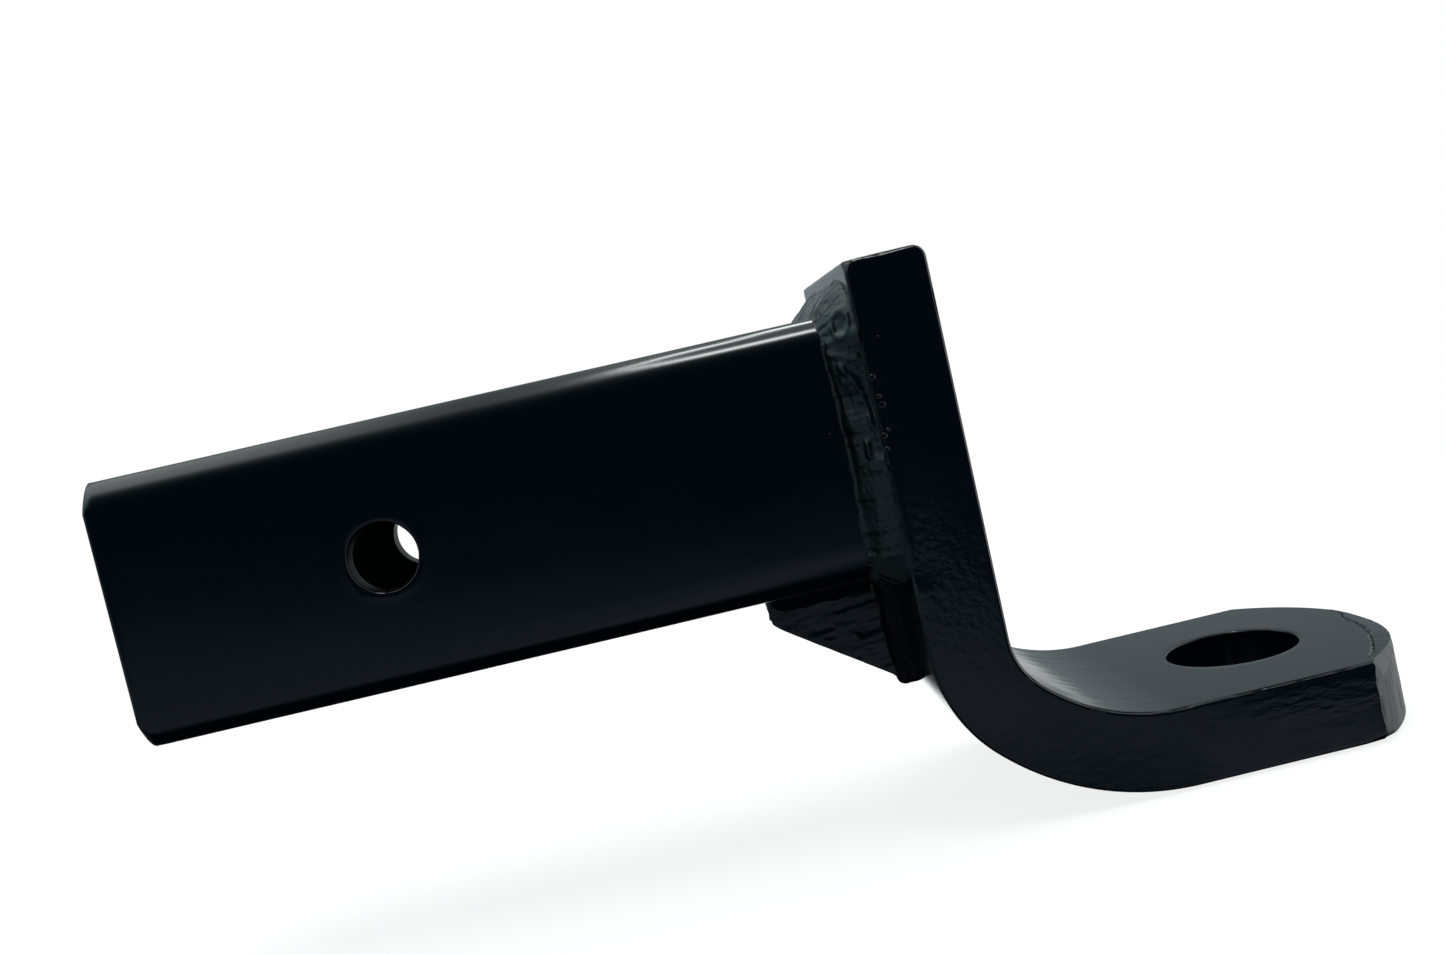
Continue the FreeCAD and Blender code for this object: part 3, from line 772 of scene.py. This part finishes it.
# inside of the bend: shallow forming marks that run lengthwise
formed = ss(N[:, 2], 0.45, 0.75) * ss(x, 176.0, 166.0) * (z > -76.5) * ss(np.abs(y), 39.2, 37.0)
off += formed * (0.030 * noise(np.stack([y, x * 0.18, z * 0.18], -1), (3.0, 3.0, 3.0), 23) + 0.018 * noise(np.stack([y, x * 0.25, z * 0.25], -1), 1.4, 24))
# long edges: not quite straight, with a few nicks
edge_m = ss(ny, 0.15, 0.5) * ss(ny, 0.99, 0.90) * ss(np.abs(y), 38.6, 39.2) * (1 - nose_zone)
nick = np.maximum(0.0, noise(P, 3.4, 31) - 0.45) * 1.1 + np.maximum(0.0, noise(P, 1.7, 32) - 0.5) * 0.6
off -= edge_m * (0.10 + 0.10 * noise(P, 7.0, 30) + 0.45 * nick)
# flame-cut wall: drag lines that lean a little, deeper in places
ang = np.arctan2(y, x - NC)
rad = np.hypot(x - NC, y)
wall_m = (1 - ss(NR - rad, 0.6, 1.6)) * ss(x, KX + 0.15, KX + 0.7) * ss(z, PZ - 0.2, PZ - 1.2) * ss(z, BZ + 0.1, BZ + 0.9)
arc = ang * NR + 0.035 * np.clip(PZ - z, 0.0, None) ** 1.35
lines = np.stack([arc, np.zeros(len(P)), z * 0.08], -1)
off -= wall_m * (0.10 + 0.075 * noise(lines, (0.95, 1, 1), 41) + 0.05 * noise(lines, (2.6, 1, 1), 42)
                 + 0.04 * noise(np.stack([arc, y * 0, z * 0.3], -1), (0.6, 1, 1), 43))
gouge = np.maximum(0.0, noise(np.stack([arc, y * 0, z * 0.12], -1), (3.1, 1, 1), 44) - 0.55)
off -= wall_m * gouge * 0.55
new = P + N * off[:, None]
# the right kink is a wavy ridge of run metal
near = np.exp(-((ang + kink) * NR / 0.55) ** 2) * (y < 0) * ss(z, PZ - 0.1, PZ - 1.0) * ss(z, BZ + 0.2, BZ + 1.6) * ss(NR - rad, 2.2, 0.9)
wave = 0.30 * noise(np.stack([z, z * 0, z * 0], -1), (3.2, 1, 1), 51) + 0.18 * noise(np.stack([z, z * 0, z * 0], -1), (1.3, 1, 1), 52)
new[:, 0] += near * (wave + 0.10)
new[:, 1] -= near * 0.0
new[:, 1] = np.clip(new[:, 1], -39.98, 39.98)
# sheared top end: a little lower at the back, with a dragged, dull surface
end_m = ss(z, 33.0, 42.0)
slope = 0.16 * (1 - ss(x, XB + 0.5, XB + 15.5))
new[:, 2] -= end_m * (slope + 0.03 + 0.05 * fbm(P, (5.0, 2.2, 5.0), 61, 3))
corner_chip = np.exp(-(((x - 117.3) / 1.6) ** 2 + ((y + 40.0) / 1.8) ** 2 + ((z - 42.0) / 1.3) ** 2))
new[:, 0] += 0.7 * corner_chip
new[:, 2] -= 0.6 * corner_chip
new[:, 2] = np.minimum(new[:, 2], 42.48)
move(bar_me, new)
mark_edges(bar_me, 17.0, soft=lambda c: (c.x > KX + 0.4 and c.z < PZ - 0.9 and math.hypot(c.x - NC, c.y) > NR - 2.0) or c.z > 38.0)
bar = piece("tongue_bar_finished", bar_me, coat_bar, "coated_bar", "tongue_bar")

# ==============================================================================================================
# gusset: flame-cut plate, faces scored by the grinder
# ==============================================================================================================
GT = 9.5 / 2


def g_left(z):
    return 85.0 if z > -41.35 else 85.0 + (-41.35 - z) * (113.5 - 85.0) / (61.2 - 41.35)


def g_right(z):
    if z > -40.95:
        return 117.0 - (z + 40.95)
    if z > C1[1]:
        return 117.0
    return C1[0] - math.sqrt(36.0 ** 2 - (z - C1[1]) ** 2)


def g_points(r, nu=64, nv=60):
    z0, z1 = -H - r * 0.2, -61.2 + r
    g = []
    for j in range(nv + 1):
        zz = z0 + (z1 - z0) * j / nv
        a, b = g_left(zz) + r * (1.0 if zz > -41.35 else 1.2), g_right(zz) - r * 0.3
        g.append([(a + (b - a) * i / nu, zz) for i in range(nu + 1)])
    return np.array(g)


inner, outer = g_points(0.7), g_points(0.0)
nv, nu = inner.shape[:2]
border = [(0, i) for i in range(nu)] + [(j, nu - 1) for j in range(1, nv)] + [(nv - 1, i) for i in range(nu - 2, -1, -1)] + [(j, 0) for j in range(nv - 2, 0, -1)]
s = Soup()
for sgn in (-1, 1):
    s.grid(np.stack([inner[..., 0], np.full((nv, nu), sgn * GT), inner[..., 1]], -1))
strip = []
for (j, i) in border:
    a, b = inner[j, i], outer[j, i]
    col = []
    for k in range(5):
        t_ = math.radians(90 * k / 4)
        p_ = a + (b - a) * math.sin(t_)
        col.append((p_[0], -GT + 0.7 * (1 - math.cos(t_)), p_[1]))
    for yy in np.linspace(-GT + 0.7, GT - 0.7, 12)[1:-1]:
        col.append((b[0], yy, b[1]))
    for k in range(5):
        t_ = math.radians(90 - 90 * k / 4)
        p_ = a + (b - a) * math.sin(t_)
        col.append((p_[0], GT - 0.7 * (1 - math.cos(t_)), p_[1]))
    strip.append(col)
s.grid(np.array(strip), wrap_u=True)
gus_me = s.mesh("gusset_finished")
P, N = coords(gus_me)
x, y, z = P.T
face_m = ss(np.abs(y), GT - 0.3, GT - 0.02)
rot = np.stack([x * 0.98 + z * 0.10, y, z * 0.98 - x * 0.10], -1)
score = fbm(rot, (5.2, 50.0, 0.95), 71, 2)
dent = np.maximum(0.0, noise(rot, (4.2, 50.0, 1.15), 72) - 0.30) * ss(x, 92.0, 99.0)
off = -face_m * (0.05 + 0.035 * score + 0.42 * dent + 0.05 * fbm(P, 7.0, 73, 2))
edge_m = (1 - ss(np.abs(y), GT - 0.9, GT - 0.2))
cutp = np.stack([x, y * 0.22, z], -1)
off -= edge_m * (0.08 + 0.10 * noise(cutp, 1.1, 74) + 0.07 * noise(cutp, 2.9, 75)) * ss(x, 84.0, 84.8)
new = P + N * off[:, None]
tip = np.exp(-(((x - 85.0) / 1.8) ** 2 + ((z + 41.35) / 2.6) ** 2))
new[:, 0] += tip * (0.5 + 0.5 * noise(P, 1.3, 76))
new[:, 2] += tip * 0.4 * noise(P, 1.5, 77)
move(gus_me, new)
mark_edges(gus_me, 34.0, soft=lambda c: abs(c.y) > GT - 0.45)
gus = piece("gusset_finished", gus_me, coat_plate, "coated_plate", "gusset")

# ==============================================================================================================
# weld beads
# ==============================================================================================================


def ridge(p, line, width, height, power=2.0):
    """A raised run of metal along a broken line."""
    line = np.asarray(line, float)
    best = np.full(len(p), 1e9)
    for a, b in zip(line[:-1], line[1:]):
        ab = b - a
        t_ = np.clip(((p - a) @ ab) / (ab @ ab), 0, 1)
        best = np.minimum(best, np.linalg.norm(p - (a + t_[:, None] * ab), axis=1))
    return height * np.exp(-(best / width) ** power)


def ball(c, r, rings_=6, seg=10, squash=1.0, normal=(0, -1, 0)):
    """A droplet of spatter as a closed mesh."""
    n_ = np.array(normal, float)
    n_ /= np.linalg.norm(n_)
    a_ = np.cross(n_, (0.3, 0.5, 0.8))
    a_ /= np.linalg.norm(a_)
    b_ = np.cross(n_, a_)
    verts, faces = [], []
    for i in range(1, rings_):
        th = math.pi * i / rings_
        for j in range(seg):
            ph = 2 * math.pi * j / seg
            verts.append(np.array(c) + r * (math.sin(th) * (math.cos(ph) * a_ + math.sin(ph) * b_) + squash * math.cos(th) * n_))
    top, bot = len(verts), len(verts) + 1
    verts.append(np.array(c) + r * squash * n_)
    verts.append(np.array(c) - r * squash * n_)
    for i in range(rings_ - 2):
        for j in range(seg):
            faces.append([i * seg + j, i * seg + (j + 1) % seg, (i + 1) * seg + (j + 1) % seg, (i + 1) * seg + j])
    for j in range(seg):
        faces.append([top, j, (j + 1) % seg][::-1])
        o_ = (rings_ - 2) * seg
        faces.append([bot, o_ + j, o_ + (j + 1) % seg])
    return np.array(verts), faces


def feather(n, value):
    return np.broadcast_to(np.asarray(value, float), (n,)).copy()


def bead(name, root, da, db, arc_len, leg_a, leg_b, crown, seed, node, nf=34, pitch=1.9, rip=0.10, lump=0.20, fade=(0.0, 0.0),
         extra=None, spatter=(), ext_a=1.6, ext_b=1.0, lip=0.0, soften=14, rip_mask=None, sink=0.30, dive=(0.0, 0.0), mat=None):
    """A fillet bead. root, da, db: corner line and the two leg directions at each station. Its toes run out thinly over
    the metal beside them, and lip carries it round the bar's outer edge."""
    n = len(root)
    a, b, cr = feather(n, leg_a), feather(n, leg_b), feather(n, crown)
    ea, eb, lp = feather(n, ext_a), feather(n, ext_b), feather(n, lip)
    sv = np.stack([arc_len, np.zeros(n), np.zeros(n)], -1)
    a = a * (1 + 0.040 * noise(sv, 3.6, seed) + 0.022 * noise(sv, 1.3, seed + 1))
    b = b * (1 + (0.035 * noise(sv, 3.3, seed + 2) + 0.020 * noise(sv, 1.2, seed + 3)) * (1 - np.clip(lp / 0.8, 0, 1)))
    grow = np.ones(n)
    under = np.zeros(n)
    for end, f_ in ((0, dive[0]), (1, dive[1])):
        if f_ > 0:
            dist = arc_len - arc_len[0] if end == 0 else arc_len[-1] - arc_len
            under = np.maximum(under, 1 - ss(dist, 0.0, f_))
    for end, f_ in ((0, fade[0]), (1, fade[1])):
        if f_ > 0:
            dist = arc_len - arc_len[0] if end == 0 else arc_len[-1] - arc_len
            grow *= np.sqrt(np.clip(1 - (1 - np.clip(dist / f_, 0, 1)) ** 2, 0.0, 1.0))
    a *= 0.15 + 0.85 * grow
    b *= 0.15 + 0.85 * grow
    # section in (u, v): u along da, v along db
    k1 = np.linspace(0, 1, 9)[:-1]
    part1 = np.stack([a[:, None] + ea[:, None] * (1 - k1), np.broadcast_to(-sink * (1 - k1) ** 1.3, (n, 8))], -1)
    w = np.linspace(0, 1, nf + 1)
    chord = np.stack([a[:, None] * (1 - w), b[:, None] * w], -1)
    out_ = np.stack([b, a], -1) / np.hypot(a, b)[:, None]
    chord = chord + out_[:, None] * (np.clip(4 * w * (1 - w), 0, 1) ** 0.8 * cr[:, None] * grow[:, None])[..., None]
    k3 = np.linspace(0, 1, 9)[1:]
    plain = np.stack([np.broadcast_to(-sink * k3 ** 1.3, (n, 8)), b[:, None] + eb[:, None] * k3], -1)
    over_ = np.stack([-lp[:, None] * k3, b[:, None] - 0.34 * k3 ** 1.5], -1)
    f_ = np.clip(lp / 0.8, 0, 1)[:, None, None]
    part3 = plain * (1 - f_) + over_ * f_
    sec = np.concatenate([part1, chord, part3], 1)
    m_ = sec.shape[1]
    for _ in range(soften):
        sec[:, 1:-1] = 0.25 * sec[:, :-2] + 0.5 * sec[:, 1:-1] + 0.25 * sec[:, 2:]
    tan = np.gradient(sec, axis=1)
    nor = np.stack([tan[..., 1], -tan[..., 0]], -1)
    nor /= np.maximum(np.linalg.norm(nor, axis=2), 1e-9)[..., None]
    # ripples, lumps and grain across the face; nothing at the thin edges
    f = np.linspace(0, 1, m_)
    win = ss(f, 0.03, 0.24) * ss(f, 0.97, 0.78)
    phase = (arc_len[:, None] + 5.0 * (f[None] - 0.5) ** 2
             + 0.9 * noise(sv, 5.0, seed + 5)[:, None] + 0.35 * noise(sv, 2.1, seed + 6)[:, None]) / pitch
    rp = (np.abs(np.sin(np.pi * phase)) ** 0.8 - 0.6) * rip
    xyz = root[:, None] + da[:, None] * sec[..., :1] + db[:, None] * sec[..., 1:]
    if rip_mask is not None:
        rp = rp * rip_mask(xyz.reshape(-1, 3)).reshape(rp.shape)
    q = np.stack([np.broadcast_to(arc_len[:, None], rp.shape), np.broadcast_to(f[None] * 11.0, rp.shape), rp * 0], -1)
    h_ = rp + fbm(q, (7.0, 3.0, 1.0), seed + 7, 3) * lump + noise(xyz, 0.8, seed + 9) * 0.035 + noise(xyz, 0.45, seed + 10) * 0.015
    h_ = h_ * grow[:, None]
    if extra is not None:
        h_ = h_ + extra(xyz.reshape(-1, 3)).reshape(h_.shape)
    sec = sec + nor * (h_ * win[None] - under[:, None] * 1.1)[..., None]
    face = root[:, None] + da[:, None] * sec[..., :1] + db[:, None] * sec[..., 1:]
    # back of the bead, inside the joint
    inner_ = root - (da + db) * 0.35
    bt, at = face[:, -1], face[:, 0]
    seg1 = np.stack([bt + (inner_ - bt) * (k / 6) for k in range(1, 7)], 1)
    seg2 = np.stack([inner_ + (at - inner_) * (k / 6) for k in range(1, 6)], 1)
    full = np.concatenate([face, seg1, seg2], 1)
    full[..., 1] = np.clip(full[..., 1], -39.985, 39.985)
    sp = Soup()
    sp.grid(full, wrap_v=True)
    sp.fan(full[0])
    sp.fan(full[-1])
    for (c_, r_, n_, q_) in spatter:
        v_, fc_ = ball(c_, r_, normal=n_, squash=q_)
        v_[:, 1] = np.clip(v_[:, 1], -39.99, 39.99)
        sp.add(v_, fc_)
    me = sp.mesh(name)
    mark_edges(me, 70.0)
    return piece(name, me, mat or coat_weld, "coated_weld", node)


def seam_path(side, over=(45.0, 45.0), step=0.32):
    """Corner line of the seam on one side of the shank, with half of each rounded corner.
    side is the outward direction (y, z); the path runs towards +t, t = side turned by 90 degrees."""
    n_ = np.array([0.0, side[0], side[1]])
    t_ = np.array([0.0, -side[1], side[0]])
    half_ = H - TR
    pts, outs, ls = [], [], []
    L1 = TR * math.radians(over[0])
    L3 = TR * math.radians(over[1])
    # the beads' length is measured half way up the leg
    k1 = max(int(2.2 * L1 / step), 10)
    for i in range(k1):
        a_ = math.radians(over[0]) * (1 - i / k1)
        o_ = n_ * math.cos(a_) - t_ * math.sin(a_)
        pts.append(np.array([XB, 0, 0]) + n_ * half_ - t_ * half_ + o_ * TR)
        outs.append(o_)
        ls.append(-(a_) * (TR + 3.5))
    k2 = int(2 * half_ / step)
    for i in range(k2 + 1):
        f_ = i / k2
        pts.append(np.array([XB, 0, 0]) + n_ * H + t_ * (-half_ + 2 * half_ * f_))
        outs.append(n_)
        ls.append(2 * half_ * f_)
    k3 = max(int(2.2 * L3 / step), 10)
    for i in range(1, k3 + 1):
        a_ = math.radians(over[1]) * i / k3
        o_ = n_ * math.cos(a_) + t_ * math.sin(a_)
        pts.append(np.array([XB, 0, 0]) + n_ * half_ + t_ * half_ + o_ * TR)
        outs.append(o_)
        ls.append(2 * half_ + a_ * (TR + 3.5))
    root = np.array(pts)
    outs = np.array(outs)
    da = np.tile(np.array([-1.0, 0, 0]), (len(root), 1))
    return root, da, outs, np.array(ls)


# right seam: side (y, z) = (-1, 0), so t = (0, 0, -1): the path runs downwards
root, da, db, ls = seam_path((-1.0, 0.0), over=(54.0, 50.0))
zc = root[:, 2]
la = 6.6 + 0.9 * ss(zc, -4.0, -20.0) + 0.6 * ss(zc, 14.0, 24.0)
lb = 6.3 + 1.93 * ss(zc, 8.0, -6.0) + 0.9 * ss(zc, 20.0, 27.0)
lipz = 2.7 * ss(zc, -1.0, -11.0) * ss(zc, -30.5, -24.0)


def crater(p):
    """Ring and dimple where the bead was stopped, near the upper corner."""
    c_ = np.array([113.7, -35.9, 29.0])
    e_ = (p - c_) / np.array([0.86, 0.86, 1.12])
    rr = np.linalg.norm(e_, axis=1)
    rr = rr + 0.35 * noise(p, 1.7, 141)
    return 0.27 * np.exp(-((rr - 2.9) / 0.85) ** 2) - 0.34 * np.exp(-(rr / 1.9) ** 2)


def right_detail(p):
    out_ = crater(p)
    out_ += ridge(p, [(109.9, -32.6, 22.5), (112.2, -34.9, 21.6), (115.0, -37.2, 20.2), (117.2, -38.6, 19.6)], 0.90, 0.26)
    out_ += ridge(p, [(112.4, -35.2, 19.0), (113.7, -36.3, 16.6), (115.0, -37.3, 12.6), (115.7, -37.9, 8.4), (115.9, -38.1, 4.5)], 0.85, 0.34)
    out_ += ridge(p, [(110.8, -33.4, 18.0), (111.0, -33.7, 12.0), (111.3, -34.0, 6.0), (111.6, -34.2, -2.0), (111.2, -33.8, -8.0)], 1.30, 0.14)
    out_ -= ridge(p, [(112.6, -35.0, 14.0), (113.2, -35.6, 6.0), (113.4, -35.8, -4.0)], 0.90, 0.18)
    out_ += ridge(p, [(114.3, -36.9, 0.6), (114.4, -36.9, -2.2)], 0.75, 0.60)
    out_ -= ridge(p, [(113.8, -36.4, -3.4), (114.9, -37.4, -3.6)], 0.45, 0.28)
    out_ += 0.30 * np.exp(-((p[:, 2] + 14.0) / 9.0) ** 2) * np.exp(-((p[:, 1] + 36.6) / 2.2) ** 2)
    high = ss(p[:, 2], -7.0, 3.0) * ss(p[:, 2], 27.0, 22.0)
    out_ += high * (0.24 * noise(p, (2.2, 2.2, 5.5), 133) + 0.05 * noise(p, (1.0, 1.0, 2.6), 134))
    return out_


drops = [((118.0, -39.72, 15.2), 0.80, (0, -1, 0), 0.22), ((118.9, -39.72, 8.6), 0.85, (0, -1, 0), 0.20), ((118.6, -39.72, 10.6), 0.62, (0, -1, 0), 0.26),
         ((117.8, -39.72, 1.6), 0.80, (0, -1, 0), 0.22), ((119.0, -39.72, 2.8), 0.50, (0, -1, 0), 0.30), ((117.9, -39.72, -1.4), 0.55, (0, -1, 0), 0.30),
         ((121.3, -39.72, 24.0), 0.30, (0, -1, 0), 0.6), ((106.8, -31.62, 4.4), 0.30, (0, -1, 0), 0.6)]
bead("shank_weld_right_finished", root, da, db, ls, la, lb, 0.45 + 0.75 * ss(zc, -8.0, 2.0) * ss(zc, 27.0, 20.0), 100, "shank_weld_right", nf=44, pitch=2.1,
     rip=0.035, lump=0.10, extra=right_detail, spatter=drops, ext_a=1.6, ext_b=0.9 - 0.75 * ss(lb, 7.2, 8.0), lip=lipz, soften=24,
     rip_mask=lambda p: ss(p[:, 2], -3.0, 5.0), dive=(0.0, 3.0))

# left seam: side (1, 0), t = (0, 0, 1): upwards
root, da, db, ls = seam_path((1.0, 0.0), over=(50.0, 54.0))
bead("shank_weld_left_finished", root, da, db, ls, 7.2, 7.0, 0.7, 200, "shank_weld_left", nf=36, pitch=1.9, rip=0.14, lump=0.18,
     dive=(3.0, 0.0), ext_a=1.8, ext_b=0.6, soften=9,
     spatter=[((119.5, 39.72, 9.0), 0.45, (0, 1, 0), 0.5), ((106.0, 31.62, -6.0), 0.4, (0, 1, 0), 0.6), ((104.2, 31.62, 15.0), 0.3, (0, 1, 0), 0.6)])

# top seam: side (0, 1); the path runs from the left to the right
root, da, db, ls = seam_path((0.0, 1.0), over=(50.0, 62.0))


def top_detail(p):
    return crater(p) + (0.20 * noise(p, (2.4, 3.6, 2.4), 311) + 0.10 * noise(p, (1.3, 1.8, 1.3), 312)) * ss(p[:, 1], 10.0, -20.0)


bead("shank_weld_top_finished", root, da, db, ls, 7.6, 7.4 + 0.3 * noise(np.stack([ls, ls * 0, ls * 0], -1), 9.0, 320), 0.7, 300, "shank_weld_top", nf=36,
     pitch=1.8, rip=0.09, lump=0.20, extra=top_detail, ext_a=1.8, ext_b=2.2 - 1.2 * ss(root[:, 1], -24.0, -30.0), soften=10, dive=(4.5, 5.0),
     spatter=[((98.0, -12.0, 31.64), 0.4, (0, 0, 1), 0.6), ((102.0, 9.0, 31.64), 0.35, (0, 0, 1), 0.6),
              ((94.5, 2.0, 31.64), 0.3, (0, 0, 1), 0.6)])

# bottom seam: side (0, -1); the path runs from the right to the left
root, da, db, ls = seam_path((0.0, -1.0), over=(60.0, 50.0))
bead("shank_weld_bottom_finished", root, da, db, ls, 7.5, 6.8, 0.7, 400, "shank_weld_bottom", nf=32, pitch=2.0, rip=0.13, lump=0.20,
     ext_a=1.6, ext_b=1.0, soften=9,
     spatter=[((101.0, -14.0, -31.64), 0.4, (0, 0, -1), 0.6), ((104.0, 17.0, -31.64), 0.35, (0, 0, -1), 0.6)])

# gusset to shank, both sides: the corner line is the plate's face against the shank's underside
for sgn, word in ((-1, "right"), (1, "left")):
    xs_ = np.arange(85.4, 111.6, 0.3)
    root = np.array([(x_, sgn * GT, -H) for x_ in xs_])
    da = np.tile(np.array([0.0, float(sgn), 0.0]), (len(xs_), 1))
    db = np.tile(np.array([0.0, 0.0, -1.0]), (len(xs_), 1))
    bead("gusset_shank_weld_%s_finished" % word, root, da, db, xs_ - xs_[0], 6.6, 6.3 - 0.8 * ss(xs_, 92.0, 86.0), 0.15, 500 + 50 * sgn,
         "gusset_shank_weld_" + word, nf=28, pitch=1.9, rip=0.11, lump=0.18, fade=(2.6, 0.0), ext_a=1.2, ext_b=0.9, soften=8,
         spatter=[((91.0, sgn * 4.72, -44.0), 0.35, (0, sgn, 0), 0.6)])
    # gusset to bar: along the plate's face against the bar's back, following the bend's start
    zs_ = np.arange(-35.6, -63.0, -0.3)
    bx = np.array([117.0 if z_ > C1[1] else C1[0] - math.sqrt(36.0 ** 2 - (z_ - C1[1]) ** 2) for z_ in zs_])
    root = np.stack([bx, np.full(len(zs_), sgn * GT), zs_], -1)
    slope_ = np.array([0.0 if z_ > C1[1] else math.asin((C1[1] - z_) / 36.0) for z_ in zs_])
    da = np.stack([-np.cos(slope_), 0 * zs_, -np.sin(slope_)], -1)
    db = np.tile(np.array([0.0, float(sgn), 0.0]), (len(zs_), 1))

    def run_down(p, sgn=sgn):
        low = ss(p[:, 2], -54.0, -62.0)
        return low * (0.35 * noise(np.stack([p[:, 1] * 1.0, p[:, 0] * 0.6, p[:, 2] * 0.12], -1), (0.9, 1.0, 1.0), 611 + sgn) + 0.1)

    # these beads take the duller copy of the weld coat: painted shade under the shank, between the plate and the bar
    bead("gusset_tongue_weld_%s_finished" % word, root, da, db, -(zs_ - zs_[0]), 4.2, 4.9, 1.10, 600 + 50 * sgn,
         "gusset_tongue_weld_" + word, nf=28, pitch=2.4, rip=0.045, lump=0.10, fade=(0.0, 2.0), extra=run_down, ext_a=0.9, ext_b=1.2, soften=10,
         mat=coat_weld_painted_shade)
